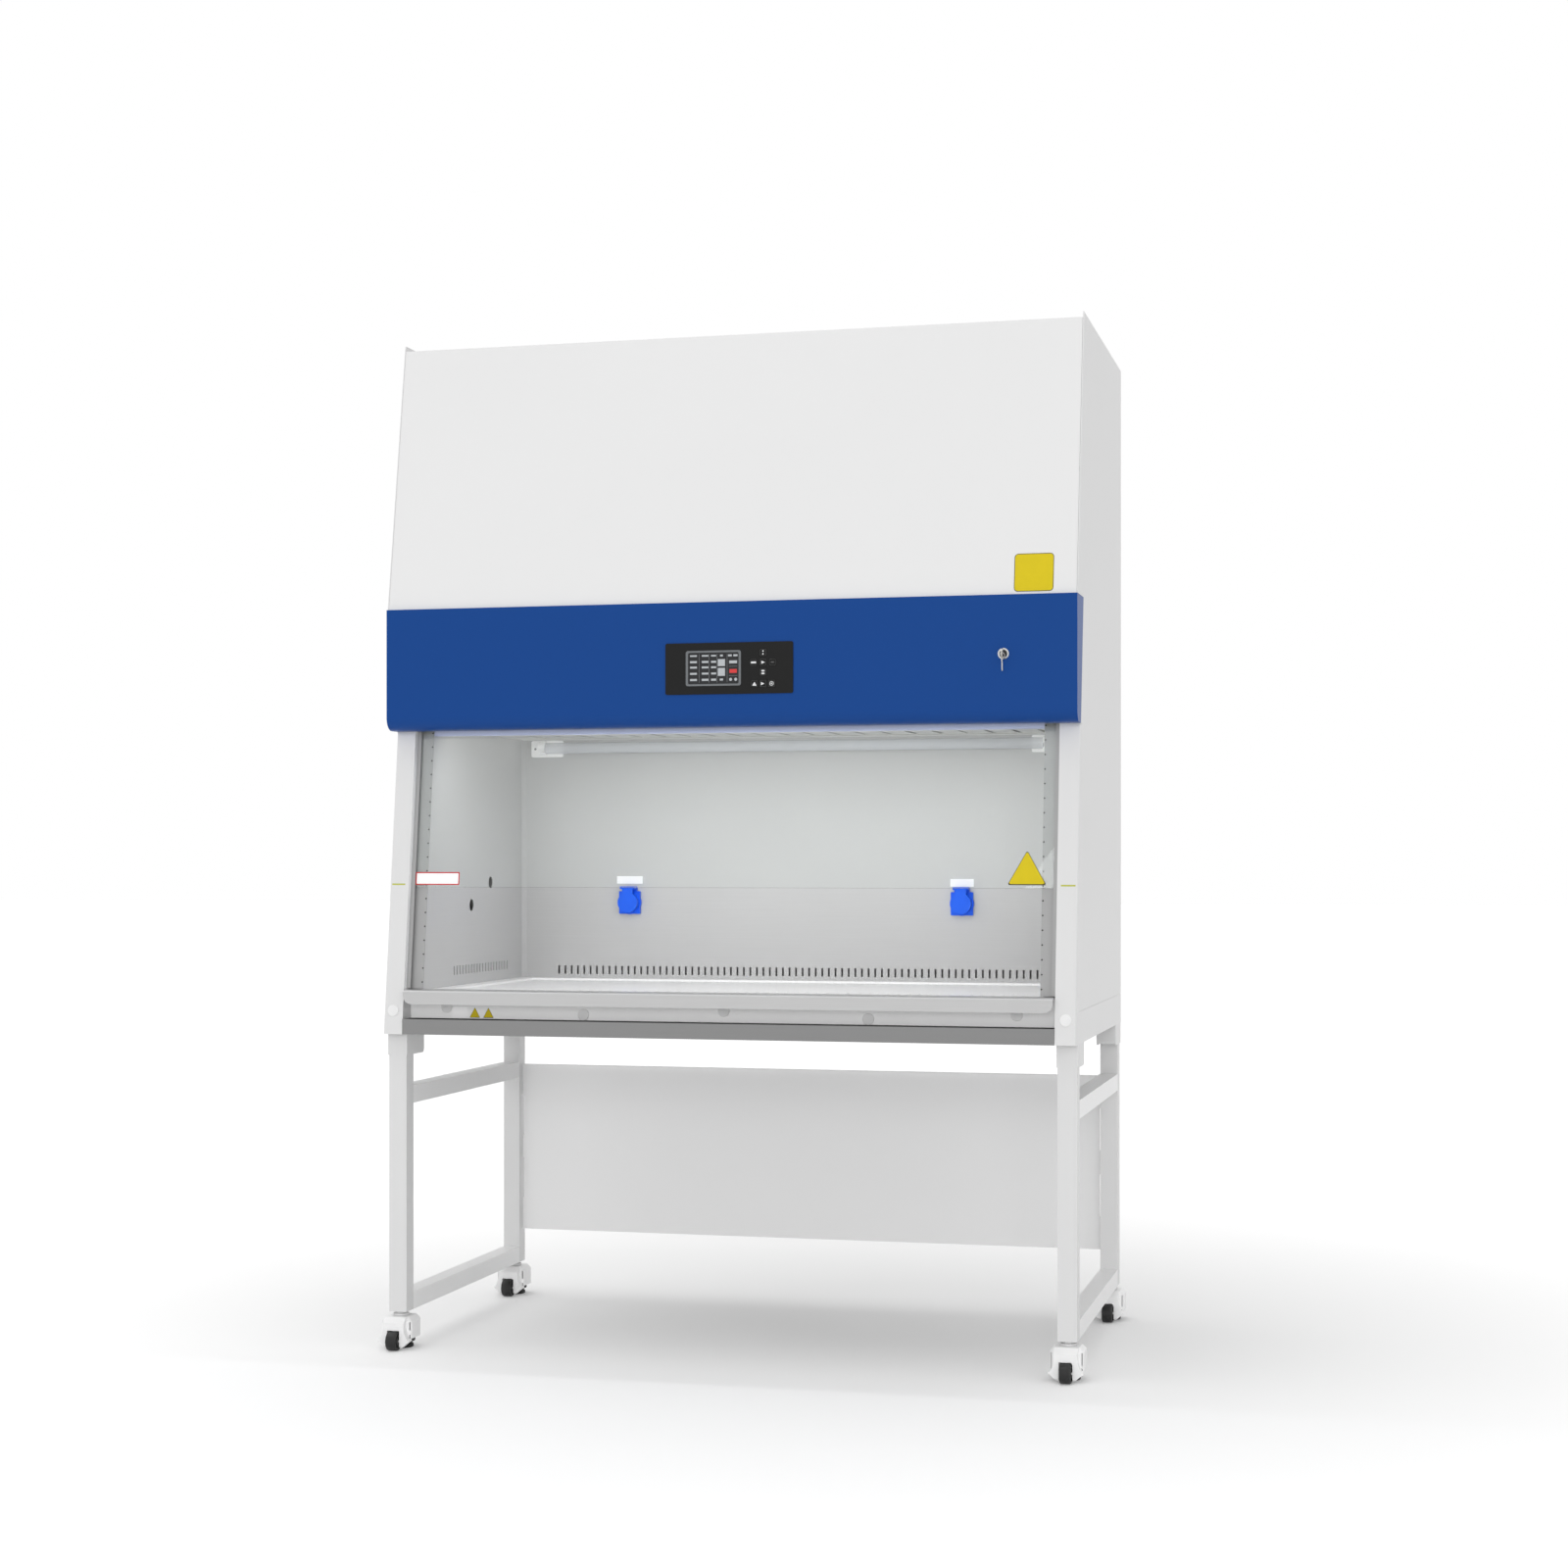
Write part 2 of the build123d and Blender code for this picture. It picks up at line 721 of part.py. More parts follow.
with BuildPart() as liner_sides:
    add(side_liner(-liner_half, (service_low, service_high)))
    add(side_liner(liner_half, ()))
finish(liner_sides.part, "liner_sides")

with BuildPart() as liner_rear:
    with BuildSketch(upright(liner_y)):
        with Locations((0, (liner_foot + ceiling) / 2)):
            Rectangle(2 * liner_half, ceiling - liner_foot)
        with Locations((0, tray_top + back_slot_over_tray)):
            with GridLocations(back_slot_pitch, 0, back_slot_count, 1):
                Rectangle(*back_slot_size, mode=Mode.SUBTRACT)
    extrude(amount=-liner_wall)
    for side in (-1, 1):
        with BuildSketch(Plane.XY.offset(tray_top + part_gap)):
            with BuildLine():
                Polyline(
                    (side * liner_half, liner_y),
                    (side * (liner_half - corner_strip), liner_y),
                    (side * liner_half, liner_y - corner_strip),
                    close=True,
                )
            make_face()
        extrude(amount=ceiling - tray_top - part_gap)
finish(liner_rear.part, "liner_back")

# ------------------------------------------------------------------ sash, guides and clamps
guide_inner = post_inner - guide_flange
glass_half = post_inner - guide_wall - glass_edge_gap
sill = slope_at(armrest_top)
glass_foot = sill + sash_opening
glass_head = glass_foot + glass_length
guide_foot = sill + tray_gap + flange_back * tan(lean)
guide_head = glass_head + sash_extra_lift + guide_head_room
glass_back = glass_setback + glass_thickness
channel_front = glass_setback - guide_glass_gap
channel_back = glass_back + guide_glass_gap

with BuildPart() as sash_glass:
    with BuildSketch(front_plane.offset(-glass_back)):
        with Locations((0, (glass_foot + glass_head) / 2)):
            Rectangle(2 * glass_half, glass_length)
    extrude(amount=glass_thickness)
finish(sash_glass.part, "sash_glass")

with BuildPart() as sash_guides:
    for side in (-1, 1):
        with BuildSketch(Plane(origin=foot_edge + slope * guide_foot, x_dir=(1, 0, 0), z_dir=slope)):
            with BuildLine():
                Polyline(
                    (side * post_inner, channel_front - guide_wall),
                    (side * post_inner, channel_back + guide_wall),
                    (side * guide_inner, channel_back + guide_wall),
                    (side * guide_inner, channel_back),
                    (side * (post_inner - guide_wall), channel_back),
                    (side * (post_inner - guide_wall), channel_front),
                    (side * (post_inner - guide_lip), channel_front),
                    (side * (post_inner - guide_lip), channel_front - guide_wall),
                    close=True,
                )
            make_face()
        extrude(amount=guide_head - guide_foot)
finish(sash_guides.part, "sash_guides")

belt_rear = drive_out - pulley_radius - belt_gap - belt_thickness
clamp_head = glass_head + clamp_over_glass
clamp_middle = (belt_rear - belt_gap - glass_back - clamp_wall) / 2

with BuildPart() as sash_clamps:
    for side in (-1, 1):
        with BuildSketch(side_plane(side * belt_spot - clamp_width / 2)):
            with Locations((clamp_head - clamp_height / 2, clamp_middle)):
                Rectangle(clamp_height, belt_rear - belt_gap + glass_back + clamp_wall)
            with Locations((glass_head - clamp_height / 2, -glass_back + glass_thickness / 2)):
                Rectangle(clamp_height, glass_thickness, mode=Mode.SUBTRACT)
        extrude(amount=clamp_width)
finish(sash_clamps.part, "sash_clamps")

# ------------------------------------------------------------------ sash drive
# A driven cross shaft above and a free one below carry a toothed belt at each side.
shaft_half = bearing_inner - bearing_gap


def cross_shaft(up):
    """Shaft across the cabinet with two flanged toothed pulleys and a journal at each end."""
    with BuildPart() as shaft:
        with BuildSketch(side_plane(-shaft_half)):
            with Locations((up, drive_out)):
                Circle(shaft_radius)
        extrude(amount=2 * shaft_half)
        with BuildSketch(side_plane(-bearing_inner - bearing_plate)):
            with Locations((up, drive_out)):
                Circle(journal_radius)
        extrude(amount=2 * (bearing_inner + bearing_plate))
        for side in (-1, 1):
            with BuildSketch(side_plane(side * belt_spot - pulley_width / 2)):
                with Locations((up, drive_out)):
                    Circle(pulley_radius)
                    with PolarLocations(pulley_radius, pulley_teeth):
                        Rectangle(2 * tooth_size[0], tooth_size[1], mode=Mode.SUBTRACT)
            extrude(amount=pulley_width)
            for edge in (-1, 1):
                flange_x = side * belt_spot + edge * (pulley_width + flange_sheet) / 2 - flange_sheet / 2
                with BuildSketch(side_plane(flange_x)):
                    with Locations((up, drive_out)):
                        Circle(pulley_radius + pulley_flange)
                extrude(amount=flange_sheet)
    return shaft.part


drive_shaft = cross_shaft(drive_up)
finish(drive_shaft, "drive_shaft")
return_shaft = cross_shaft(return_up)
finish(return_shaft, "return_shaft")

belt_inner = pulley_radius + belt_gap

with BuildPart() as drive_belts:
    for side in (-1, 1):
        with BuildSketch(side_plane(side * belt_spot - belt_width / 2)):
            with Locations(((drive_up + return_up) / 2, drive_out)):
                SlotCenterToCenter(drive_up - return_up, 2 * (belt_inner + belt_thickness))
                SlotCenterToCenter(drive_up - return_up, 2 * belt_inner, mode=Mode.SUBTRACT)
        extrude(amount=belt_width)
finish(drive_belts.part, "drive_belts")

motor_x = bearing_inner + bearing_plate
motor_length = half_width - sheet - motor_wall_gap - motor_x

with BuildPart() as sash_motor:
    with BuildSketch(side_plane(motor_x)):
        with Locations((drive_up, drive_out)):
            Circle(motor_radius)
    extrude(amount=motor_length)
    with BuildSketch(side_plane(motor_x)):
        with Locations((drive_up - bearing_height / 2, drive_out)):
            Rectangle(2 * bearing_shelf, bearing_height)
    extrude(amount=motor_length, mode=Mode.SUBTRACT)
finish(sash_motor.part, "sash_motor")

# ------------------------------------------------------------------ control panel, display and keys
# Black moulding let into the cover, with a pocket for the display and one for each key.
panel_face = cover_face - panel_proud
key_depth = key_thickness - key_proud + key_travel + key_end_gap
display_x = panel_x + display_offset[0]
display_z = panel_z + display_offset[1]
pad_x = panel_x + keypad_middle[0]
pad_z = panel_z + keypad_middle[1]
key_spots = {
    "key_up": (0, key_pitch),
    "key_left": (-key_pitch, 0),
    "key_middle": (0, 0),
    "key_right": (key_pitch, 0),
    "key_down": (0, -key_pitch),
    "key_low_left": (-key_row_pitch, -key_row_drop),
    "key_low_middle": (0, -key_row_drop),
    "key_low_right": (key_row_pitch, -key_row_drop),
}
key_places = [(pad_x + across, pad_z + up) for across, up in key_spots.values()]

with BuildPart() as control_panel:
    with BuildSketch(upright(cover_face)):
        with Locations((panel_x, panel_z)):
            RectangleRounded(*panel_size, panel_corner)
    extrude(amount=panel_proud)
    with BuildSketch(upright(cover_face)):
        with Locations((panel_x, panel_z)):
            Rectangle(*housing_size)
    extrude(amount=-housing_depth)
    with BuildSketch(upright(panel_face)):
        with Locations((display_x, display_z)):
            Rectangle(*display_size)
    extrude(amount=display_proud - display_thickness, mode=Mode.SUBTRACT)
    with BuildSketch(upright(panel_face)):
        with Locations(*key_places):
            Rectangle(key_size + 2 * key_gap, key_size + 2 * key_gap)
    extrude(amount=-key_depth, mode=Mode.SUBTRACT)
finish(control_panel.part, "control_panel")

with BuildPart() as display:
    with BuildSketch(upright(panel_face - display_proud)):
        with Locations((display_x, display_z)):
            Rectangle(*display_size)
    extrude(amount=-display_thickness)
finish(display.part, "display")

for name, place in zip(key_spots, key_places):
    with BuildPart() as key:
        with BuildSketch(upright(panel_face - key_proud)):
            with Locations(place):
                Rectangle(key_size, key_size)
        extrude(amount=-key_thickness)
        chamfer(faces().sort_by(Axis.Y)[0].edges(), key_chamfer)
    finish(key.part, name)

# ------------------------------------------------------------------ key switch
# Ringed barrel through the cover, with a flat key standing in its plug.
ring_face = cover_face - lock_ring_proud
bow_y = ring_face - key_reach

with BuildPart() as lock_barrel:
    with BuildSketch(upright(cover_face)):
        with Locations((lock_x, lock_z)):
            Circle(lock_ring_radius)
    extrude(amount=lock_ring_proud)
    with BuildSketch(upright(cover_face)):
        with Locations((lock_x, lock_z)):
            Circle(lock_barrel_radius)
    extrude(amount=-lock_barrel_length)
    with BuildSketch(upright(ring_face)):
        with Locations((lock_x, lock_z)):
            Circle(lock_plug_radius + lock_clearance)
    extrude(amount=-lock_plug_length - part_gap, mode=Mode.SUBTRACT)
finish(lock_barrel.part, "lock_barrel")

with BuildPart() as lock_key:
    with BuildSketch(upright(ring_face)):
        with Locations((lock_x, lock_z)):
            Circle(lock_plug_radius)
    extrude(amount=-lock_plug_length)
    with BuildSketch(Plane.YZ.offset(lock_x - key_blade / 2)):
        with Locations(((bow_y + ring_face) / 2, lock_z)):
            Rectangle(key_reach, key_neck)
        with Locations((bow_y, lock_z)):
            Circle(key_bow_radius)
            Circle(key_eye_radius, mode=Mode.SUBTRACT)
    extrude(amount=key_blade)
finish(lock_key.part, "lock_key")

# ------------------------------------------------------------------ work light
# Long diffuser under the ceiling, just behind the glass, rounded below.
light_front = frame_y(ceiling) + liner_front_back + light_gap
light_half = liner_half - part_gap

with BuildPart() as work_light:
    with BuildSketch(Plane.YZ.offset(-light_half)):
        with Locations((light_front + light_depth / 2, ceiling - light_height / 2)):
            Rectangle(light_depth, light_height)
        fillet(vertices().group_by(Axis.Y)[0], light_round)
    extrude(amount=2 * light_half)
finish(work_light.part, "work_light")

# ------------------------------------------------------------------ ultraviolet lamp
# Bare tube along the back of the ceiling, between two hooked holders on plates.
lamp_y = liner_y - lamp_from_back
lamp_z = ceiling - lamp_under_ceiling
lamp_left = lamp_left_inset - liner_half
lamp_right = liner_half - lamp_right_inset
tube_left = lamp_left + holder_length / 2
tube_right = lamp_right - holder_length / 2

with BuildPart() as uv_lamp:
    with BuildSketch(Plane.YZ.offset(tube_left)):
        with Locations((lamp_y, lamp_z)):
            Circle(lamp_radius)
    extrude(amount=tube_right - tube_left)
finish(uv_lamp.part, "uv_lamp")

with BuildPart() as lamp_holders:
    for end in (lamp_left, lamp_right):
        with BuildSketch(Plane.YZ.offset(end - holder_length / 2)):
            with Locations((lamp_y, lamp_z)):
                Circle(holder_radius)
            with Locations(((lamp_y + liner_y) / 2, lamp_z)):
                Rectangle(lamp_from_back, holder_arm)
            with Locations((lamp_y, lamp_z)):
                Circle(holder_hole, mode=Mode.SUBTRACT)
            with Locations((lamp_y - holder_radius / 2, lamp_z - holder_mouth / 2)):
                Rectangle(holder_radius, holder_mouth, mode=Mode.SUBTRACT)
        extrude(amount=holder_length)
        with BuildSketch(upright(liner_y)):
            with Locations((end, lamp_z)):
                RectangleRounded(*lamp_plate, lamp_plate_corner)
        extrude(amount=lamp_plate_thickness)
finish(lamp_holders.part, "lamp_holders")

# ------------------------------------------------------------------ outlets
# Two splash-proof sockets on the back wall.  Each lid hangs from a pin between two ears
# that stand on the base plate's neck.
outlet_z = tray_top + outlet_height
boss_y = liner_y - outlet_base
boss_face = boss_y - outlet_boss
lid_back = boss_face - lid_gap
lid_y = lid_back - lid_thickness / 2
lid_axis_z = outlet_z + lid_axis_rise
ear_half = lid_barrel / 2 + lid_gap
neck_rise = lid_axis_rise + lid_barrel_radius
outlet_spots = (outlet_left_inset - liner_half, liner_half - outlet_right_inset)

with BuildPart() as outlet_bases:
    for spot in outlet_spots:
        with BuildSketch(upright(liner_y)):
            with Locations((spot, outlet_z)):
                RectangleRounded(*outlet_size, outlet_corner)
                Circle(outlet_round)
            with Locations((spot, outlet_z + neck_rise / 2)):
                Rectangle(2 * (ear_half + lid_ear), neck_rise)
        extrude(amount=outlet_base)
        with BuildSketch(upright(boss_y)):
            with Locations((spot, outlet_z)):
                Circle(outlet_boss_radius)
        extrude(amount=outlet_boss)
        with BuildSketch(upright(boss_face)):
            with Locations((spot, outlet_z)):
                Circle(outlet_well_radius)
        extrude(amount=-outlet_well, mode=Mode.SUBTRACT)
        for side in (-1, 1):
            with BuildSketch(Plane.YZ.offset(spot + side * (ear_half + lid_ear / 2) - lid_ear / 2)):
                with Locations((lid_y, lid_axis_z)):
                    Circle(lid_barrel_radius)
                with Locations(((lid_y + boss_y) / 2, lid_axis_z)):
                    Rectangle(boss_y - lid_y, 2 * lid_barrel_radius)
            extrude(amount=lid_ear)
        with BuildSketch(Plane.YZ.offset(spot - ear_half)):
            with Locations((lid_y, lid_axis_z)):
                Circle(lid_pin_radius)
        extrude(amount=2 * ear_half)
finish(outlet_bases.part, "outlet_bases")

for name, spot in zip(("outlet_lid_left", "outlet_lid_right"), outlet_spots):
    with BuildPart() as lid:
        with BuildSketch(upright(lid_back)):
            with Locations((spot, outlet_z)):
                Circle(outlet_boss_radius)
            with Locations((spot, outlet_z + lid_axis_rise / 2)):
                Rectangle(lid_barrel, lid_axis_rise)
        extrude(amount=lid_thickness)
        with BuildSketch(Plane.YZ.offset(spot - lid_barrel / 2)):
            with Locations((lid_y, lid_axis_z)):
                Circle(lid_barrel_radius)
        extrude(amount=lid_barrel)
        with BuildSketch(Plane.YZ.offset(spot - lid_barrel / 2)):
            with Locations((lid_y, lid_axis_z)):
                Circle(lid_pin_radius + lid_pin_clearance)
        extrude(amount=lid_barrel, mode=Mode.SUBTRACT)
    finish(lid.part, name)

# ------------------------------------------------------------------ filters
# Each is a frame packed with pleats.  The supply filter carries the slotted ceiling below it.


def filter_block(half, y0, y1, z0, height):
    """Rectangular filter frame with upright pleats from front to back."""
    pleats = int(2 * (half - filter_frame) / pleat_pitch)
    with BuildPart() as block:
        with BuildSketch(Plane.XY.offset(z0)):
            with Locations((0, (y0 + y1) / 2)):
                Rectangle(2 * half, y1 - y0)
                Rectangle(2 * (half - filter_frame), y1 - y0 - 2 * filter_frame, mode=Mode.SUBTRACT)
                with GridLocations(pleat_pitch, 0, pleats, 1):
                    Rectangle(pleat_sheet, y1 - y0 - filter_frame)
        extrude(amount=height)
    return block.part


raised_head = glass_head + sash_extra_lift
plenum_y0 = y_front + raised_head * sin(lean) + glass_back * cos(lean) + plenum_sash_gap
filter_y0 = plenum_y0 - plenum_inset
filter_y1 = liner_y - filter_gap
filter_half = liner_half - filter_side
guard_columns = int(2 * (filter_half - guard_slot_margin) / guard_slot_pitch) + 1
guard_top = ceiling + guard_wall
filter_top = guard_top + filter_height

with BuildPart() as supply_filter:
    add(filter_block(filter_half, filter_y0, filter_y1, guard_top, filter_height))
    with BuildSketch(Plane.XY.offset(ceiling)):
        with Locations((0, (light_front + liner_y) / 2)):
            Rectangle(2 * liner_half, liner_y - light_front)
        with Locations((0, (filter_y0 + filter_y1) / 2)):
            with GridLocations(guard_slot_pitch, guard_row_pitch, guard_columns, guard_rows):
                Rectangle(*guard_slot_size, mode=Mode.SUBTRACT)
    extrude(amount=guard_wall)
finish(supply_filter.part, "supply_filter")

exhaust_y0 = y_front + exhaust_front
exhaust_y1 = y_front + exhaust_back
plenum_top = top_panel_top - plenum_top_gap
exhaust_base = plenum_top + part_gap
exhaust_height = top_panel_top - sheet - part_gap - exhaust_base
exhaust_filter = filter_block(exhaust_half_width, exhaust_y0, exhaust_y1, exhaust_base, exhaust_height)
finish(exhaust_filter, "exhaust_filter")

# ------------------------------------------------------------------ plenum and blower
# The blower draws from the duct behind the liner and blows into the plenum, which feeds both
# filters.  Its wheel is pressed round an outer-rotor motor that turns on a fixed shaft.
plenum_half = filter_half - plenum_inset
plenum_y1 = filter_y1 - plenum_inset
plenum_y = (plenum_y0 + plenum_y1) / 2
fan_z = filter_top + fan_up

with BuildPart() as plenum_box:
    with BuildSketch(Plane.XY.offset(filter_top)):
        with Locations((0, plenum_y)):
            Rectangle(2 * plenum_half, plenum_y1 - plenum_y0)
    extrude(amount=plenum_top - filter_top)
    with BuildSketch(Plane.XY.offset(filter_top)):
        with Locations((0, plenum_y)):
            Rectangle(2 * (plenum_half - sheet), plenum_y1 - plenum_y0 - 2 * sheet)
    extrude(amount=plenum_top - filter_top - sheet, mode=Mode.SUBTRACT)
    with BuildSketch(Plane.XY.offset(plenum_top)):
        with Locations((0, exhaust_y)):
            Rectangle(2 * (exhaust_half_width - filter_frame), exhaust_y1 - exhaust_y0 - 2 * filter_frame)
    extrude(amount=-sheet, mode=Mode.SUBTRACT)
    with BuildSketch(upright(plenum_y1)):
        with Locations((0, fan_z)):
            Circle(fan_eye_radius)
    extrude(amount=sheet, mode=Mode.SUBTRACT)
finish(plenum_box.part, "plenum_box")

scroll_back = plenum_y1 - sheet - part_gap
scroll_depth = fan_width + 2 * (fan_side_gap + scroll_wall)
scroll_front = scroll_back - scroll_depth
scroll_foot = fan_z - scroll_start - scroll_mouth


def scroll_outline(inset, foot):
    """Spiral wall about the fan's axis that runs straight down into a mouth."""
    turns = [step * pi / 16 for step in range(25)]
    reach = [scroll_start + scroll_growth * turn / turns[-1] - inset for turn in turns]
    spiral = [(r * sin(turn), fan_z - r * cos(turn)) for r, turn in zip(reach, turns)]
    return spiral + [(-reach[-1], foot), (-scroll_throat - inset, foot)]


with BuildPart() as blower_housing:
    with BuildSketch(upright(scroll_back)):
        with BuildLine():
            Polyline(*scroll_outline(0, scroll_foot), close=True)
        make_face()
    extrude(amount=scroll_depth)
    with BuildSketch(upright(scroll_back - scroll_wall)):
        with BuildLine():
            Polyline(*scroll_outline(scroll_wall, scroll_foot - scroll_wall), close=True)
        make_face()
    extrude(amount=scroll_depth - 2 * scroll_wall, mode=Mode.SUBTRACT)
    with BuildSketch(upright(scroll_back)):
        with Locations((0, fan_z)):
            Circle(fan_eye_radius)
    extrude(amount=scroll_wall, mode=Mode.SUBTRACT)
    with BuildSketch(upright(scroll_front)):
        with Locations((0, fan_z)):
            Circle(fan_shaft_radius)
    extrude(amount=-scroll_wall - fan_side_gap - fan_motor_length)
finish(blower_housing.part, "blower_housing")

wheel_front = scroll_front + scroll_wall + fan_side_gap

with BuildSketch() as fan_blade:
    with BuildLine():
        tip = (fan_tip_radius * cos(radians(fan_sweep)), fan_tip_radius * sin(radians(fan_sweep)))
        RadiusArc((fan_motor_radius, 0), tip, fan_blade_curve)
    trace(line_width=fan_blade_sheet)

with BuildPart() as blower_wheel:
    with BuildSketch(upright(wheel_front)):
        with Locations((0, fan_z)):
            Circle(fan_radius)
    extrude(amount=-fan_blade_sheet)
    with BuildSketch(upright(wheel_front)):
        with Locations((0, fan_z)):
            with PolarLocations(0, fan_blades):
                add(fan_blade.sketch)
    extrude(amount=-fan_width)
    with BuildSketch(upright(wheel_front + fan_width)):
        with Locations((0, fan_z)):
            Circle(fan_radius)
            Circle(fan_eye_radius, mode=Mode.SUBTRACT)
    extrude(amount=fan_blade_sheet)
    with BuildSketch(upright(wheel_front)):
        with Locations((0, fan_z)):
            Circle(fan_motor_radius)
    extrude(amount=-fan_motor_length)
    with BuildSketch(upright(wheel_front)):
        with Locations((0, fan_z)):
            Circle(fan_shaft_radius + fan_shaft_clearance)
    extrude(amount=-fan_motor_length, mode=Mode.SUBTRACT)
finish(blower_wheel.part, "blower_wheel")

# ------------------------------------------------------------------ stand
# Four square tubes tied front to back by two rails a side, in sleeves bolted under the cabinet.
# Each leg's foot is plugged and carries the nut, disc and stem of its castor.
leg_x = half_width - leg_side_inset - leg_size / 2
leg_y_front = y_front + leg_front_inset + leg_size / 2
leg_y_rear = y_back - leg_rear_inset - leg_size / 2
leg_spots = [(side * leg_x, y) for y in (leg_y_front, leg_y_rear) for side in (-1, 1)]
leg_top = underside - bracket_wall
leg_inside = leg_size - 2 * leg_wall
disc_bottom = hood_top + disc_gap
stem_bottom = hood_top - stem_depth + stem_end_gap

with BuildPart() as stand_legs:
    with BuildSketch(Plane.XY.offset(leg_bottom)):
        with Locations(*leg_spots):
            Rectangle(leg_size, leg_size)
            Rectangle(leg_inside, leg_inside, mode=Mode.SUBTRACT)
    extrude(amount=leg_top - leg_bottom)
    with BuildSketch(Plane.XY.offset(leg_bottom)):
        with Locations(*leg_spots):
            Rectangle(leg_inside, leg_inside)
    extrude(amount=leg_plug_height)
    with BuildSketch(Plane.XY.offset(leg_bottom)):
        with Locations(*leg_spots):
            RegularPolygon(nut_across / 2, 6, major_radius=False)
    extrude(amount=disc_bottom - leg_bottom)
    with BuildSketch(Plane.XY.offset(disc_bottom)):
        with Locations(*leg_spots):
            Circle(bearing_disc_radius)
    extrude(amount=bearing_disc)
    with BuildSketch(Plane.XY.offset(stem_bottom)):
        with Locations(*leg_spots):
            Circle(stem_radius)
    extrude(amount=disc_bottom - stem_bottom)
finish(stand_legs.part, "stand_legs")

rail_front = leg_y_front + leg_size / 2
rail_rear = leg_y_rear - leg_size / 2

with BuildPart() as stand_rails:
    for bottom in (leg_bottom, upper_rail_bottom):
        with BuildSketch(upright(rail_front)):
            with Locations(*[(side * leg_x, bottom + rail_height / 2) for side in (-1, 1)]):
                Rectangle(leg_size, rail_height)
                Rectangle(leg_inside, rail_height - 2 * leg_wall, mode=Mode.SUBTRACT)
        extrude(amount=rail_front - rail_rear)
finish(stand_rails.part, "stand_rails")

bracket_foot = underside - bracket_drop
bracket_size = leg_size + 2 * bracket_wall
bracket_shift = (bracket_depth - bracket_size) / 2

with BuildPart() as stand_brackets:
    for x, y in leg_spots:
        inwards = -1 if y == leg_y_rear else 1
        outer_end = y - inwards * bracket_size / 2
        free_end = outer_end + inwards * bracket_depth
        with BuildSketch(Plane.YZ.offset(x - bracket_size / 2)):
            with BuildLine():
                Polyline(
                    (outer_end, bracket_foot),
                    (outer_end, underside),
                    (free_end, underside),
                    (free_end, bracket_foot),
                    close=True,
                )
            make_face()
            free_corner = vertices().group_by(Axis.Y)[0].sort_by(lambda v: abs(v.X - free_end))
            fillet(free_corner[0], bracket_round)
        extrude(amount=bracket_size)
        with BuildSketch(Plane.XY.offset(bracket_foot)):
            with Locations((x, y + inwards * bracket_shift)):
                Rectangle(leg_size, bracket_depth - 2 * bracket_wall)
        extrude(amount=bracket_drop - bracket_wall, mode=Mode.SUBTRACT)
finish(stand_brackets.part, "stand_brackets")

# Folded sheet between the rear legs, held off them by three short tabs a side.
back_sheet_half = leg_x - leg_size / 2 - back_sheet_gap
back_sheet_y = y_back - back_sheet_inset
tab_shift = (back_sheet_slot + back_sheet_tab) / 2

with BuildPart() as stand_back_panel:
    with BuildSketch(upright(back_sheet_y)):
        with Locations((0, back_sheet_bottom + back_sheet_height / 2)):
            Rectangle(2 * (back_sheet_half + back_sheet_gap), back_sheet_height)
        for side in (-1, 1):
            for edge in (-1, 1):
                slot_z = back_sheet_bottom + back_sheet_height / 2 + edge * tab_shift
                with Locations((side * (back_sheet_half + back_sheet_gap / 2), slot_z)):
                    Rectangle(back_sheet_gap, back_sheet_slot, mode=Mode.SUBTRACT)
    extrude(amount=-back_sheet_wall)
    with BuildSketch(Plane.XY.offset(back_sheet_bottom + back_sheet_height)):
        with Locations((0, back_sheet_y - back_sheet_fold / 2)):
            Rectangle(2 * back_sheet_half, back_sheet_fold)
    extrude(amount=-back_sheet_wall)
finish(stand_back_panel.part, "stand_back_panel")

# ------------------------------------------------------------------ levelling castors
# Drawn about the swivel axis on the floor, with the wheel in front.  The cast hood has a nose
# that flares into two pointed cheeks, which hold the axle.  It turns on the leg's stem, and
# the levelling foot screws down out of it behind the wheel, by a thumb dial.
boss_top = hood_top - hood_deck
hood_middle = (hood_rear - hood_front) / 2
pocket_half = window_half + cheek_wall

with BuildPart() as castor_nose:
    with BuildSketch(upright(-nose_rear)):
        with BuildLine():
            ThreePointArc((nose_half, nose_straight), nose_flare, (hood_half, cheek_corner))
            Polyline(
                (hood_half, cheek_corner),
                (pocket_half, cheek_tip),
                (-pocket_half, cheek_tip),
                (-hood_half, cheek_corner),
            )
            ThreePointArc(
                (-hood_half, cheek_corner),
                (-nose_flare[0], nose_flare[1]),
                (-nose_half, nose_straight),
            )
            Polyline(
                (-nose_half, nose_straight),
                (-nose_half, hood_top),
                (nose_half, hood_top),
                (nose_half, nose_straight),
            )
        make_face()
    extrude(amount=nose_front - nose_rear)
    with BuildSketch(Plane.YZ.offset(-hood_half)):
        with BuildLine():
            Polyline(
                (-nose_front, nose_edge),
                (-hood_front, hood_top),
                (-nose_rear, hood_top),
                (-nose_rear, hood_skirt),
                (-cheek_tip_front, cheek_tip),
                (-nose_front + nose_bevel, cheek_tip),
                (-nose_front, cheek_tip + nose_bevel),
                close=True,
            )
        make_face()
    extrude(amount=2 * hood_half, mode=Mode.INTERSECT)

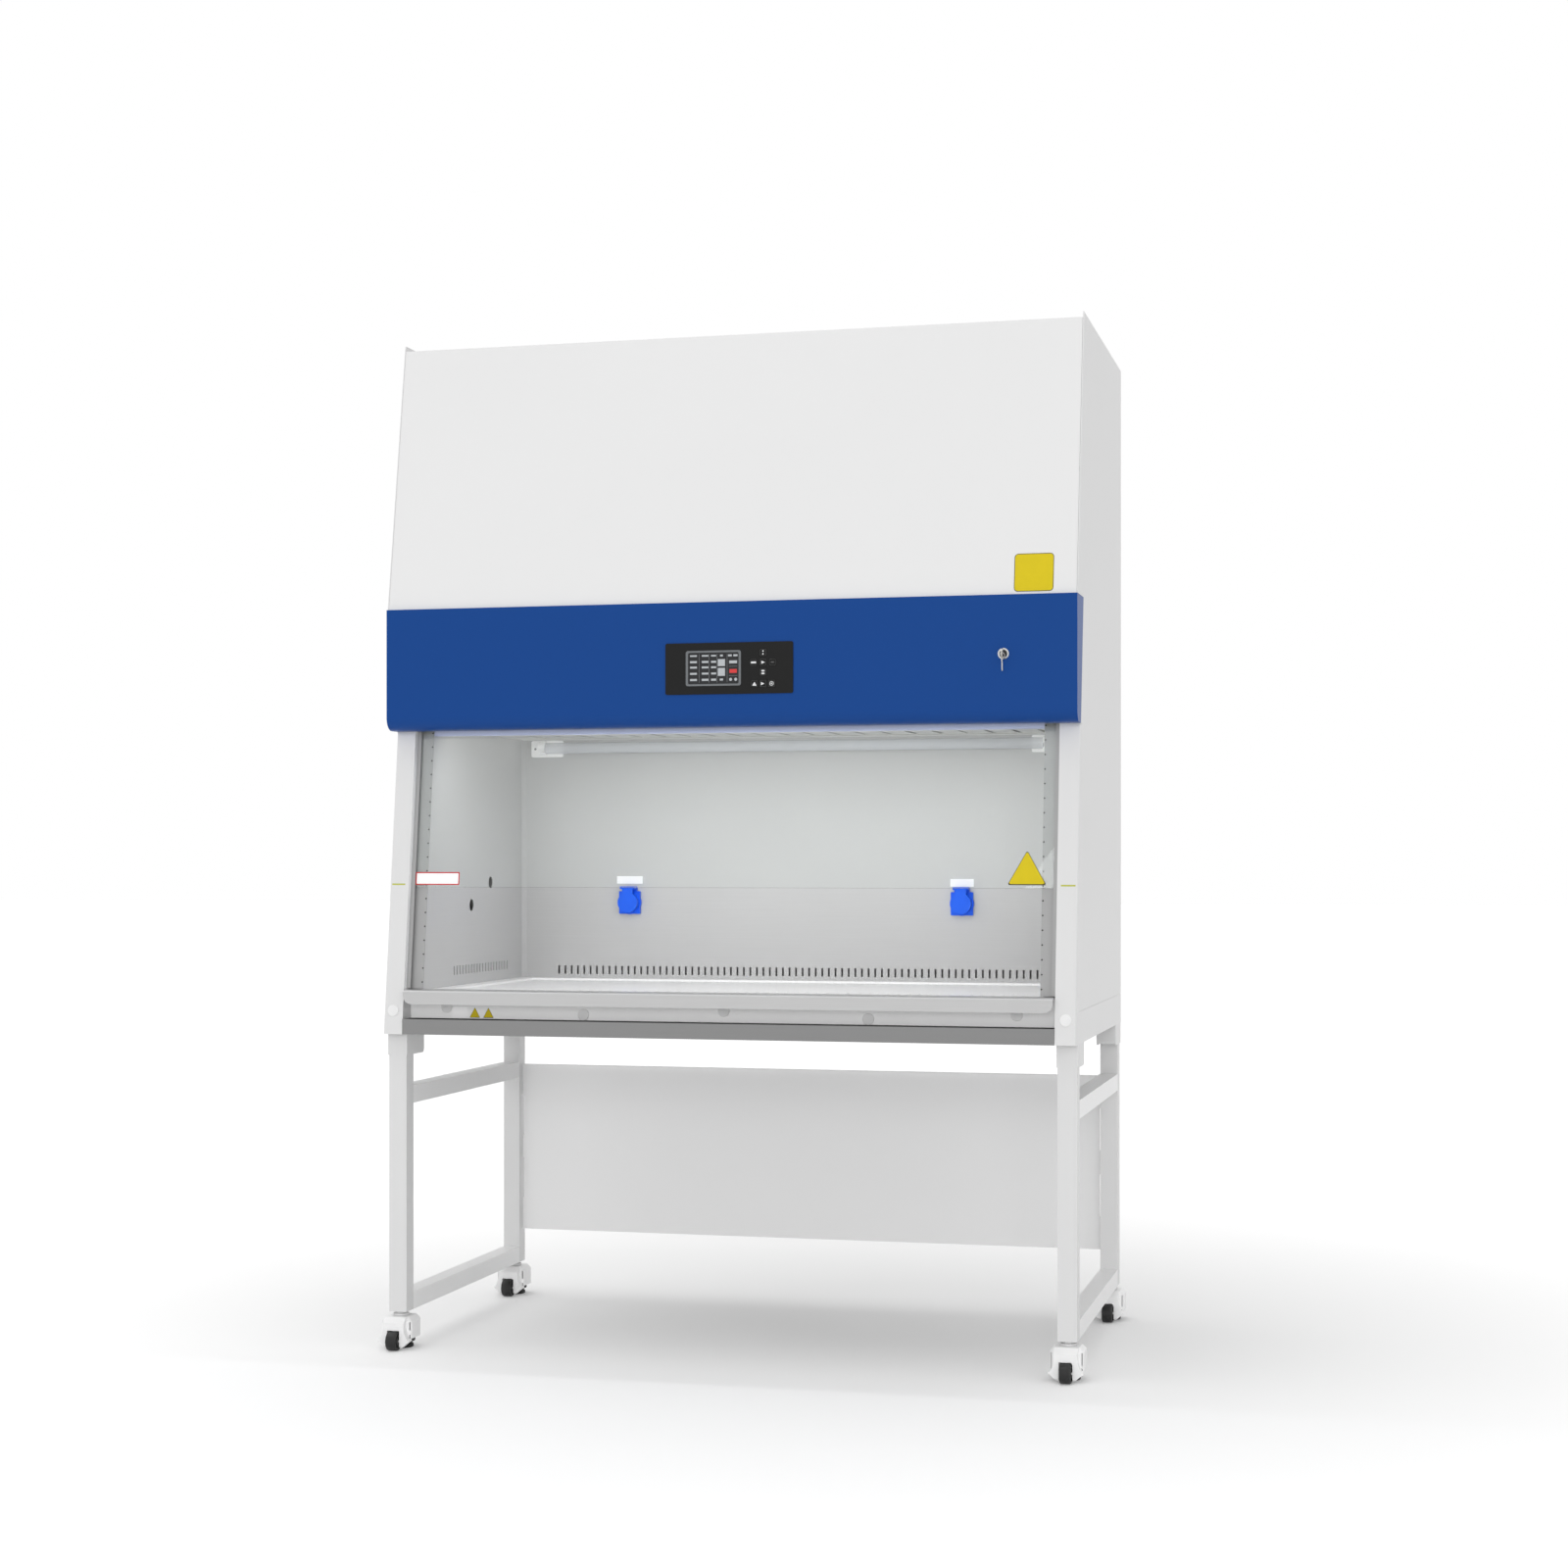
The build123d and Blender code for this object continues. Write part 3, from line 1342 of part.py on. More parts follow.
with BuildPart() as castor_hood:
    with BuildSketch(Plane.XY.offset(hood_skirt)):
        with Locations((0, hood_middle)):
            RectangleRounded(2 * hood_half, hood_front + hood_rear, hood_corner)
    extrude(amount=hood_top - hood_skirt)
    chamfer(edges().group_by(Axis.Z)[-1], hood_shoulder)
    add(castor_nose.part)
    with BuildSketch(Plane.XY.offset(cheek_tip)):
        with Locations((0, hood_middle)):
            Rectangle(2 * (hood_half - hood_wall), hood_front + hood_rear - 2 * hood_wall)
    extrude(amount=boss_top - cheek_tip, mode=Mode.SUBTRACT)
    with BuildSketch(upright(-hood_front + hood_wall)):
        with Locations((0, window_top / 2)):
            Rectangle(2 * window_half, window_top)
    extrude(amount=nose_front, mode=Mode.SUBTRACT)
    with BuildSketch(upright(-hood_front + hood_wall)):
        for side in (-1, 1):
            with BuildLine():
                Polyline(
                    (side * pocket_half, cheek_tip + 2 * hood_wall),
                    (side * (hood_half - 2 * hood_wall), cheek_corner),
                    (side * (nose_flare[0] - hood_wall), nose_flare[1]),
                    (side * (nose_half - hood_wall), nose_straight),
                    (side * pocket_half, nose_straight),
                    close=True,
                )
            make_face()
    extrude(amount=nose_front - hood_front, mode=Mode.SUBTRACT)
    with BuildSketch(upright(hood_rear)):
        with Locations((0, dial_window_top / 2)):
            Rectangle(2 * dial_window_half, dial_window_top)
    extrude(amount=hood_wall, mode=Mode.SUBTRACT)
    with BuildSketch(Plane.YZ.offset(-hood_half - axle_head)):
        with Locations((-castor_trail, wheel_radius)):
            Circle(axle_radius)
    extrude(amount=2 * (hood_half + axle_head))
    with BuildSketch(Plane.XY.offset(boss_bottom)):
        with Locations((0, foot_offset)):
            Circle(boss_radius)
    extrude(amount=boss_top - boss_bottom)
    with BuildSketch(Plane.XY.offset(boss_bottom)):
        with Locations((0, foot_offset)):
            Circle(screw_radius + screw_clearance)
    extrude(amount=boss_top - boss_bottom, mode=Mode.SUBTRACT)
    with BuildSketch(Plane.XY.offset(hood_top)):
        Circle(stem_radius + stem_clearance)
    extrude(amount=-stem_depth, mode=Mode.SUBTRACT)

with BuildPart() as castor_wheel:
    with BuildSketch(Plane.YZ.offset(-wheel_width / 2)):
        with Locations((-castor_trail, wheel_radius)):
            Circle(wheel_radius)
    extrude(amount=wheel_width)
    chamfer(edges().filter_by(GeomType.CIRCLE), wheel_bevel)
    for face_x, into in ((-wheel_width / 2, hub_sink), (wheel_width / 2, -hub_sink)):
        with BuildSketch(Plane.YZ.offset(face_x)):
            with Locations((-castor_trail, wheel_radius)):
                Circle(wheel_radius - tyre_rim)
                Circle(wheel_hub_radius, mode=Mode.SUBTRACT)
        extrude(amount=into, mode=Mode.SUBTRACT)
    with BuildSketch(Plane.YZ.offset(-wheel_width / 2)):
        with Locations((-castor_trail, wheel_radius)):
            Circle(axle_radius + axle_clearance)
    extrude(amount=wheel_width, mode=Mode.SUBTRACT)

with BuildPart() as castor_foot:
    with BuildSketch():
        with Locations((0, foot_offset)):
            Circle(foot_radius)
    extrude(amount=foot_pad)
    chamfer(edges().group_by(Axis.Z)[-1], foot_pad / 4)
    with BuildSketch(Plane.XY.offset(foot_pad)):
        with Locations((0, foot_offset)):
            Circle(screw_radius)
    extrude(amount=screw_top - foot_pad)
    with BuildSketch(Plane.XY.offset(dial_bottom)):
        with Locations((0, foot_offset)):
            Circle(dial_radius)
    extrude(amount=dial_height)
    chamfer(edges().filter_by(GeomType.CIRCLE).filter_by(lambda e: e.radius == dial_radius), dial_height / 6)

castor_names = ("front_left", "front_right", "rear_left", "rear_right")
for name, spot in zip(castor_names, leg_spots):
    for piece, role in ((castor_hood, "hood"), (castor_wheel, "wheel"), (castor_foot, "foot")):
        with BuildPart() as placed:
            with Locations(spot):
                add(piece.part)
        finish(placed.part, f"castor_{role}_{name}")
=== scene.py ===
import json
import math

import bpy
import numpy as np
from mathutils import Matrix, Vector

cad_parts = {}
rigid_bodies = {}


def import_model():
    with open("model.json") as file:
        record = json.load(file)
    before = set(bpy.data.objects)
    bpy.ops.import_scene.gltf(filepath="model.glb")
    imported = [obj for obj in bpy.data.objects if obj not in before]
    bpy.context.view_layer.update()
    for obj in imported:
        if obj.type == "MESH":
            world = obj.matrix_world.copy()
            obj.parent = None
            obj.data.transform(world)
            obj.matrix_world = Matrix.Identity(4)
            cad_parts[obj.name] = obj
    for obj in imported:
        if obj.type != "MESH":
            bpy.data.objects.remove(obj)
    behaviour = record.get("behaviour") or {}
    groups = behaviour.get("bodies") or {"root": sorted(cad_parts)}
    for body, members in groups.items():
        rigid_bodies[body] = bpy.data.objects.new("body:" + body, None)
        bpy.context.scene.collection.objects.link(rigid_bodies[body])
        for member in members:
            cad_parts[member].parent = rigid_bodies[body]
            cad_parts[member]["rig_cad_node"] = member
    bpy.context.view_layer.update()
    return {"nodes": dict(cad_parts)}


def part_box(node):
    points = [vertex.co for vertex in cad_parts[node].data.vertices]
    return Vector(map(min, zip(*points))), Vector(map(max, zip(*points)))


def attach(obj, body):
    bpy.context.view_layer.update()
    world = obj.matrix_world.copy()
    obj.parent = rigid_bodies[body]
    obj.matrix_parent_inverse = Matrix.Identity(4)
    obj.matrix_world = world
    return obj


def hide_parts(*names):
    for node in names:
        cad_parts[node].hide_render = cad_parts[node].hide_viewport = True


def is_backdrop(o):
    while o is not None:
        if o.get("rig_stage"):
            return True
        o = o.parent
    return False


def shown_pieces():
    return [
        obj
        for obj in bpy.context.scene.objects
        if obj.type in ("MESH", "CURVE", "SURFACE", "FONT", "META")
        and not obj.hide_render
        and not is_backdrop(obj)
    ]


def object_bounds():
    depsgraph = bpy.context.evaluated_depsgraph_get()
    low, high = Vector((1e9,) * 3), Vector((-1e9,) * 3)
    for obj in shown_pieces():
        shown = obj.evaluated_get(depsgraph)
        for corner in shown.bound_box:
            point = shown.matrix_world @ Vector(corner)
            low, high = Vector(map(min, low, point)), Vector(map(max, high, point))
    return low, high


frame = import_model()

# ------------------------------------------------------------------ camera and room
# A level camera stands to the right at chest height.  The room is a pale floor that runs out
# to a white surround, with broad soft lamps overhead, in front and, weaker, at the right.
camera_place = (1.4263, -5.5500, 1.0531)
camera_turn = 0.24426
camera_lens = 58.73
sensor_width = 36.0
frame_shift = 0.0504
camera = bpy.data.objects.new("camera", bpy.data.cameras.new("camera"))
camera.location = camera_place
camera.rotation_euler = (math.pi / 2, 0.0, camera_turn)
camera.data.lens = camera_lens
camera.data.sensor_width = sensor_width
camera.data.shift_y = frame_shift
bpy.context.scene.collection.objects.link(camera)
bpy.context.scene.camera = camera
bpy.context.scene.view_settings.view_transform = "Standard"

floor_reach = 60.0
floor_own_glow = (0.07, 0.35)
fade_reach = (0.4, 2.4)
fade_centre = (0.30, 0.35, 0.0)
floor_white = 0.93
room_strength = 0.62
direct_rays = ("Is Camera Ray", "Is Glossy Ray", "Is Transmission Ray")
plain_white = (1.0, 1.0, 1.0, 1.0)


def opened(material):
    """A material's node tree and its Principled surface."""
    tree = material.node_tree
    return tree, next(n for n in tree.nodes if n.type == "BSDF_PRINCIPLED")


def new_material(name):
    """A node material, its tree and its Principled surface."""
    material = bpy.data.materials.new(name)
    material.use_nodes = True
    return (material, *opened(material))


def join(tree, source, socket):
    """Links one socket to another."""
    tree.links.new(source, socket)


def any_of(tree, rays, kinds):
    """The largest of some outputs of Light Path, which is 1 for any of those rays."""
    value = rays.outputs[kinds[0]]
    for kind in kinds[1:]:
        most = tree.nodes.new("ShaderNodeMath")
        most.operation = "MAXIMUM"
        join(tree, value, most.inputs[0])
        join(tree, rays.outputs[kind], most.inputs[1])
        value = most.outputs[0]
    return value


world = bpy.data.worlds.new("room")
bpy.context.scene.world = world
world.use_nodes = True
sky = world.node_tree
lit = sky.nodes["Background"]
lit.inputs["Color"].default_value = plain_white
lit.inputs["Strength"].default_value = room_strength
seen = sky.nodes.new("ShaderNodeBackground")
seen.inputs["Color"].default_value = plain_white
seen.inputs["Strength"].default_value = 1.0
rays = sky.nodes.new("ShaderNodeLightPath")
which = sky.nodes.new("ShaderNodeMixShader")
join(sky, any_of(sky, rays, direct_rays), which.inputs[0])
join(sky, lit.outputs[0], which.inputs[1])
join(sky, seen.outputs[0], which.inputs[2])
join(sky, which.outputs[0], sky.nodes["World Output"].inputs["Surface"])

floor_paint, tree, surface = new_material("floor")
surface.inputs["Base Color"].default_value = (floor_white, floor_white, floor_white, 1.0)
surface.inputs["Roughness"].default_value = 0.9
surface.inputs["Specular IOR Level"].default_value = 0.0
glow = tree.nodes.new("ShaderNodeEmission")
glow.inputs["Color"].default_value = plain_white
rays = tree.nodes.new("ShaderNodeLightPath")
away = tree.nodes.new("ShaderNodeVectorMath")
away.operation = "DISTANCE"
away.inputs[1].default_value = fade_centre
join(tree, tree.nodes.new("ShaderNodeTexCoord").outputs["Object"], away.inputs[0])
fade = tree.nodes.new("ShaderNodeMapRange")
for end, value in zip(("From Min", "From Max", "To Min", "To Max"), (*fade_reach, *floor_own_glow)):
    fade.inputs[end].default_value = value
join(tree, away.outputs["Value"], fade.inputs["Value"])
amount = tree.nodes.new("ShaderNodeMath")
amount.operation = "MULTIPLY"
join(tree, fade.outputs["Result"], amount.inputs[1])
join(tree, any_of(tree, rays, direct_rays), amount.inputs[0])
join(tree, amount.outputs[0], glow.inputs["Strength"])
both = tree.nodes.new("ShaderNodeAddShader")
join(tree, surface.outputs[0], both.inputs[0])
join(tree, glow.outputs[0], both.inputs[1])
join(tree, both.outputs[0], tree.nodes["Material Output"].inputs["Surface"])
ground = bpy.data.meshes.new("floor")
ground.from_pydata(
    [(x * floor_reach, y * floor_reach, 0.0) for x, y in ((-1, -1), (1, -1), (1, 1), (-1, 1))],
    [],
    [(0, 1, 2, 3)],
)
ground.materials.append(floor_paint)
floor = bpy.data.objects.new("floor", ground)
bpy.context.scene.collection.objects.link(floor)
floor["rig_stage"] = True


def lamp(name, strength, spread, turn, tilt):
    """A distant lamp: it shines from azimuth turn and height tilt, in degrees, over a wide disc."""
    light = bpy.data.lights.new(name, "SUN")
    light.energy = strength
    light.angle = math.radians(spread)
    lamp_object = bpy.data.objects.new(name, light)
    lamp_object.rotation_euler = (math.radians(90 - tilt), 0.0, math.radians(turn))
    bpy.context.scene.collection.objects.link(lamp_object)
    return lamp_object


lamp("lamp_top", 0.42, 55.0, -70.0, 76.0)
lamp("lamp_right", 0.20, 60.0, 62.0, 30.0)
front_lamp = lamp("lamp_front", 0.90, 30.0, 4.0, 5.0)
front_lamp.visible_glossy = False

# ------------------------------------------------------------------ painted skins
# Side panels, upper front, top and back are folded steel sheet with a fine-textured white
# powder coat.  The stand's tubes, brackets and back sheet have the same coat.  That one white is
# given in lit and shaded copies: painted shade darkens the side panels, legs and brackets, and
# painted light brightens the stand's back sheet, its rails and the lower front, which also has
# a painted glow.
kick_painted_glow = 0.08
white_coat = (0.85, 0.85, 0.85)
side_coat_shaded = (0.79, 0.79, 0.79)
leg_coat_shaded = (0.77, 0.77, 0.77)
white_coat_painted_light = (0.93, 0.93, 0.93)


def noise(tree, scale, detail, place=None):
    """A noise pattern in the object's own coordinates, scale in cells per metre."""
    cells = tree.nodes.new("ShaderNodeTexNoise")
    cells.inputs["Scale"].default_value = scale
    cells.inputs["Detail"].default_value = detail
    if place is None:
        place = tree.nodes.new("ShaderNodeTexCoord").outputs["Object"]
    join(tree, place, cells.inputs["Vector"])
    return cells.outputs["Fac"]


def between(tree, factor, low, high):
    """Maps a pattern from 0..1 onto the range low..high."""
    span = tree.nodes.new("ShaderNodeMapRange")
    span.inputs["To Min"].default_value = low
    span.inputs["To Max"].default_value = high
    join(tree, factor, span.inputs["Value"])
    return span.outputs["Result"]


def tint(tree, factor, first, second):
    """Mixes two colours by a pattern."""
    mix = tree.nodes.new("ShaderNodeMix")
    mix.data_type = "RGBA"
    mix.inputs[6].default_value = (*first, 1.0)
    mix.inputs[7].default_value = (*second, 1.0)
    join(tree, factor, mix.inputs[0])
    return mix.outputs[2]


def relief(tree, surface, height, depth):
    """Raises the surface by a pattern, depth in metres."""
    bump = tree.nodes.new("ShaderNodeBump")
    bump.inputs["Strength"].default_value = 1.0
    bump.inputs["Distance"].default_value = depth
    join(tree, height, bump.inputs["Height"])
    join(tree, bump.outputs[0], surface.inputs["Normal"])


def shade(colour, by):
    """A colour made lighter or darker by a share."""
    return tuple(min(1.0, c * by) for c in colour)


def powder_coat(name, colour, roughness=0.42, grain=0.00006, gloss=0.35, painted_light_strength=0.0):
    """Sprayed powder paint: faint cloudiness, and an orange peel about two millimetres across.  A glow, if
    given, is painted light.
    """
    material, tree, surface = new_material(name)
    cloud, speckle = noise(tree, 2.2, 3.0), noise(tree, 300.0, 2.0)
    join(tree, tint(tree, cloud, shade(colour, 0.985), shade(colour, 1.015)), surface.inputs["Base Color"])
    join(tree, between(tree, speckle, roughness - 0.06, roughness + 0.08), surface.inputs["Roughness"])
    relief(tree, surface, noise(tree, 520.0, 2.0), grain)
    surface.inputs["Specular IOR Level"].default_value = gloss
    surface.inputs["Emission Color"].default_value = plain_white
    surface.inputs["Emission Strength"].default_value = painted_light_strength
    return material


def paint(material, *nodes):
    """Gives a finish to the solids of some CAD nodes."""
    for node in nodes:
        mesh = frame["nodes"][node].data
        mesh.materials.clear()
        mesh.materials.append(material)


paint(powder_coat("cabinet_white", white_coat), "upper_front_panel", "top_panel", "back_panel")
# Painted shade: a darker copy of the white for the side panels.
paint(powder_coat("side_white_shaded", side_coat_shaded), "side_panel_left", "side_panel_right")
# Painted shade: a darker copy of the white for the legs and brackets.
paint(powder_coat("leg_white_shaded", leg_coat_shaded), "stand_legs", "stand_brackets")
# Painted light: a lighter copy of the white for the stand's back sheet and rails.
paint(powder_coat("bright_white_painted_light", white_coat_painted_light), "stand_back_panel", "stand_rails")
# Painted light: the lower front takes the lighter copy of the white and a faint glow, though it is no lamp.
paint(powder_coat("kick_white_painted_light", white_coat_painted_light, painted_light_strength=kick_painted_glow), "lower_front_panel")

# ------------------------------------------------------------------ front cover
# The wide blue box over the window is one welded steel shell with a satin powder coat.
cover_blue = (0.006, 0.060, 0.270)
paint(powder_coat("cover_blue", cover_blue, roughness=0.36, grain=0.00004, gloss=0.16), "front_cover")

# ------------------------------------------------------------------ stainless parts
# Liners, tray, armrest and guides are stainless sheet.  The liners are brushed level, the tray
# and armrest along their length.  The one steel is given in lit and shaded copies: painted
# light brightens the side liners and, more, the tray, and painted shade darkens the guides.
# The slotted ceiling and the tray also carry painted light, an even glow though they are no lamp.
liner_steel = (0.565, 0.565, 0.565)
side_steel_lit = (0.63, 0.63, 0.63)
guide_steel_shaded = (0.42, 0.42, 0.42)
tray_steel_lit = (0.90, 0.90, 0.90)
armrest_steel = (0.55, 0.55, 0.55)
sheet = 0.0021
ceiling_painted_glow = 0.12
tray_painted_glow = 0.10


def brushed_steel(name, colour, roughness, stretch, metal=0.25, painted_light_strength=0.0, grain=0.000010):
    """Fine scratches along one axis: noise squeezed by stretch, over soft clouds of wear.  A glow, if given,
    is painted light.
    """
    material, tree, surface = new_material(name)
    place = tree.nodes.new("ShaderNodeTexCoord").outputs["Object"]
    squeeze = tree.nodes.new("ShaderNodeMapping")
    squeeze.inputs["Scale"].default_value = stretch
    join(tree, place, squeeze.inputs["Vector"])
    scratch = noise(tree, 1.0, 4.0, squeeze.outputs[0])
    cloud = noise(tree, 3.5, 4.0)
    halved = tree.nodes.new("ShaderNodeMath")
    halved.operation = "MULTIPLY"
    halved.inputs[1].default_value = 0.5
    join(tree, cloud, halved.inputs[0])
    both = tree.nodes.new("ShaderNodeMath")
    both.operation = "MULTIPLY_ADD"
    both.inputs[1].default_value = 0.5
    join(tree, scratch, both.inputs[0])
    join(tree, halved.outputs[0], both.inputs[2])
    wear = both.outputs[0]
    join(tree, tint(tree, wear, shade(colour, 0.92), shade(colour, 1.08)), surface.inputs["Base Color"])
    join(tree, between(tree, wear, roughness - 0.08, roughness + 0.10), surface.inputs["Roughness"])
    surface.inputs["Metallic"].default_value = metal
    surface.inputs["Emission Color"].default_value = plain_white
    surface.inputs["Emission Strength"].default_value = painted_light_strength
    relief(tree, surface, scratch, grain)
    return material


along_x = (6.0, 500.0, 500.0)
along_y = (500.0, 6.0, 500.0)
liner_finish = brushed_steel("liner_steel", liner_steel, 0.42, along_x)
tree, surface = opened(liner_finish)
height = tree.nodes.new("ShaderNodeSeparateXYZ")
join(tree, tree.nodes.new("ShaderNodeTexCoord").outputs["Object"], height.inputs[0])
# Painted light: the ceiling, the liner's top sheet, glows evenly though it is no lamp.
painted_ceiling_mask = tree.nodes.new("ShaderNodeMath")
painted_ceiling_mask.operation = "GREATER_THAN"
painted_ceiling_mask.inputs[1].default_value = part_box("liner_back")[1].z - sheet
join(tree, height.outputs["Z"], painted_ceiling_mask.inputs[0])
join(tree, between(tree, painted_ceiling_mask.outputs[0], 0.0, ceiling_painted_glow), surface.inputs["Emission Strength"])
side_finish = brushed_steel("side_steel_lit", side_steel_lit, 0.42, along_y)
paint(liner_finish, "liner_back")
# Painted light: a lighter copy of the steel for the side liners.
paint(side_finish, "liner_sides")
# Painted shade: a darker copy of the steel for the guides.
paint(brushed_steel("guide_steel_shaded", guide_steel_shaded, 0.42, along_y), "sash_guides")
# Painted light: a lighter copy of the steel for the tray, which also glows evenly.
paint(brushed_steel("tray_steel_lit", tray_steel_lit, 0.30, along_x, painted_light_strength=tray_painted_glow), "work_tray")
paint(brushed_steel("armrest_steel", armrest_steel, 0.36, along_x, metal=0.6), "armrest")

# ------------------------------------------------------------------ base pan
# The pan under the work zone is folded steel in a dark grey coat; the grey is partly painted
# shade, for the shadow that the armrest casts over it.
pan_grey_and_shade = (0.265, 0.265, 0.265)
paint(powder_coat("pan_grey_and_shade", pan_grey_and_shade), "base_pan")

# ------------------------------------------------------------------ sash glass
# One pane of toughened glass, faintly green.  Light for the work zone passes straight
# through it.
pane_tint = (0.965, 0.985, 0.975)
passing_tint = (0.95, 0.96, 0.96)
glass_index = 1.46
clear_glass, tree, surface = new_material("clear_glass")
cast = tint(tree, noise(tree, 8.0, 2.0), pane_tint, shade(pane_tint, 0.985))
join(tree, cast, surface.inputs["Base Color"])
surface.inputs["Transmission Weight"].default_value = 1.0
surface.inputs["IOR"].default_value = glass_index
surface.inputs["Roughness"].default_value = 0.0
passing = tree.nodes.new("ShaderNodeBsdfTransparent")
passing.inputs["Color"].default_value = (*passing_tint, 1.0)
rays = tree.nodes.new("ShaderNodeLightPath")
which = tree.nodes.new("ShaderNodeMixShader")
join(tree, any_of(tree, rays, ("Is Shadow Ray", "Is Diffuse Ray")), which.inputs[0])
join(tree, surface.outputs[0], which.inputs[1])
join(tree, passing.outputs[0], which.inputs[2])
join(tree, which.outputs[0], tree.nodes["Material Output"].inputs["Surface"])
paint(clear_glass, "sash_glass")

# ------------------------------------------------------------------ plates and labels
# Bare vinyl plates stuck where such a cabinet carries its notices: a yellow square on the
# upper front, a yellow triangle and a red-edged strip on the glass, white strips over the
# outlets, and three small ones on the lower front.
plate_thickness = 0.0004
film_yellow = (0.74, 0.58, 0.015)
film_white = (0.90, 0.90, 0.90)
white_plate_painted_glow = 0.18
film_red = (0.62, 0.05, 0.05)
ink_and_shade_dark = (0.05, 0.05, 0.045)
tick_green = (0.52, 0.56, 0.06)
lean = math.radians(6.87)
slope = np.array([0.0, math.sin(lean), math.cos(lean)])
outwards = np.array([0.0, -math.cos(lean), math.sin(lean)])
sideways = np.array([1.0, 0.0, 0.0])
upwards = np.array([0.0, 0.0, 1.0])
forwards = np.array([0.0, -1.0, 0.0])


def make_piece(name, points, faces, material, body):
    """A mesh object in the row frame that moves with a body."""
    mesh = bpy.data.meshes.new(name)
    mesh.from_pydata(np.asarray(points, float).reshape(-1, 3), [], [tuple(map(int, f)) for f in faces])
    mesh.materials.append(material)
    mesh.validate()
    piece = bpy.data.objects.new(name, mesh)
    bpy.context.scene.collection.objects.link(piece)
    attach(piece, body)
    return piece


def film(name, colour, roughness=0.35, painted_light_strength=0.0):
    """Printed vinyl: an even colour, slightly mottled, with a soft sheen.  A glow, if given, is painted
    light.
    """
    material, tree, surface = new_material(name)
    mottle, sheen = noise(tree, 60.0, 2.0), noise(tree, 240.0, 1.0)
    join(tree, tint(tree, mottle, shade(colour, 0.96), shade(colour, 1.04)), surface.inputs["Base Color"])
    join(tree, between(tree, sheen, roughness - 0.05, roughness + 0.05), surface.inputs["Roughness"])
    surface.inputs["Specular IOR Level"].default_value = 0.2
    surface.inputs["Emission Color"].default_value = (*colour, 1.0)
    surface.inputs["Emission Strength"].default_value = painted_light_strength
    relief(tree, surface, mottle, 0.00002)
    return material


def rounded_outline(width, height, radius, steps=6):
    """Corner arcs of a rectangle: each corner's centre plus radius times (cos a, sin a)."""
    turn = np.linspace(0.0, math.pi / 2, steps)
    corners = []
    for quarter, (x, y) in enumerate(((1, 1), (-1, 1), (-1, -1), (1, -1))):
        angle = turn + quarter * math.pi / 2
        centre = np.array([x * (width / 2 - radius), y * (height / 2 - radius)])
        corners.append(centre + radius * np.stack([np.cos(angle), np.sin(angle)], 1))
    return np.concatenate(corners)


def triangle_outline(width, height, radius, steps=5):
    """Corner arcs of an upright triangle, each turning a third of a circle about its centre."""
    inset = radius * 1.73
    centres = ((width / 2 - inset, -height / 2 + radius), (0.0, height / 2 - 2 * radius),
               (-width / 2 + inset, -height / 2 + radius))
    starts = (-math.pi / 2, math.pi / 6, math.pi * 5 / 6)
    arcs = []
    for centre, start in zip(centres, starts):
        angle = start + np.linspace(0.0, math.pi * 2 / 3, steps)
        arcs.append(np.array(centre) + radius * np.stack([np.cos(angle), np.sin(angle)], 1))
    return np.concatenate(arcs)


def plate(name, outline, centre, across, up, out, thickness, material, body):
    """A flat plate: outline points p, q placed at centre + p across + q up, then raised along out."""
    base = np.asarray(centre, float) + outline[:, :1] * across + outline[:, 1:] * up
    count = len(outline)
    ring = np.arange(count)
    ahead = (ring + 1) % count
    sides = np.stack([ring, ahead, ahead + count, ring + count], 1)
    faces = [list(ring[::-1])] + [list(ring + count)] + sides.tolist()
    return make_piece(name, np.concatenate([base, base + thickness * out]), faces, material, body)


def band(name, outer, inner, centre, across, up, out, thickness, material, body):
    """A flat ring between two outlines with the same number of points."""
    loops = []
    for outline, lift in ((outer, 0.0), (outer, thickness), (inner, thickness), (inner, 0.0)):
        loops.append(np.asarray(centre, float) + outline[:, :1] * across + outline[:, 1:] * up + lift * out)
    count = len(outer)
    ring = np.arange(count)
    ahead = (ring + 1) % count
    faces = []
    for loop in range(4):
        this, following = loop * count, ((loop + 1) % 4) * count
        faces += np.stack([ring + this, ahead + this, ahead + following, ring + following], 1).tolist()
    return make_piece(name, np.concatenate(loops), faces, material, body)


def rimmed(names, outer, inner, centre, up, out, face, edge, body):
    """A plate named names[0] with a printed rim named names[1] between its outline and inner."""
    plate(names[0], outer, centre, sideways, up, out, plate_thickness, face, body)
    band(names[1], outer, inner, np.asarray(centre, float) + plate_thickness * out, sideways, up, out,
         plate_thickness / 4, edge, body)


yellow_film = film("yellow_film", film_yellow)
# Painted light: the white plates glow faintly, though they are no lamp.
white_film_painted_light = film("white_film_painted_light", film_white, painted_light_strength=white_plate_painted_glow)
red_film = film("red_film", film_red)
dark_ink_and_hole_shade = film("dark_ink_and_hole_shade", ink_and_shade_dark)

front_low, front_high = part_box("upper_front_panel")
front_run = (front_high.y - 0.002 - front_low.y) / (front_high.z - front_low.z)
front_up = np.array([0.0, front_run, 1.0]) / math.hypot(front_run, 1.0)
front_out = np.array([0.0, -1.0, front_run]) / math.hypot(front_run, 1.0)
square_x, square_z = 0.6595, 1.646
rimmed(("notice_square", "notice_square_rim"), rounded_outline(0.081, 0.080, 0.008),
       rounded_outline(0.0785, 0.0775, 0.007),
       (square_x, front_low.y + (square_z - front_low.z) * front_run, square_z), front_up, front_out,
       yellow_film, dark_ink_and_hole_shade, "cabinet")

glass_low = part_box("sash_glass")[0]
glass_thickness = 0.006
glass_front_z = glass_low.z + glass_thickness * math.sin(lean)


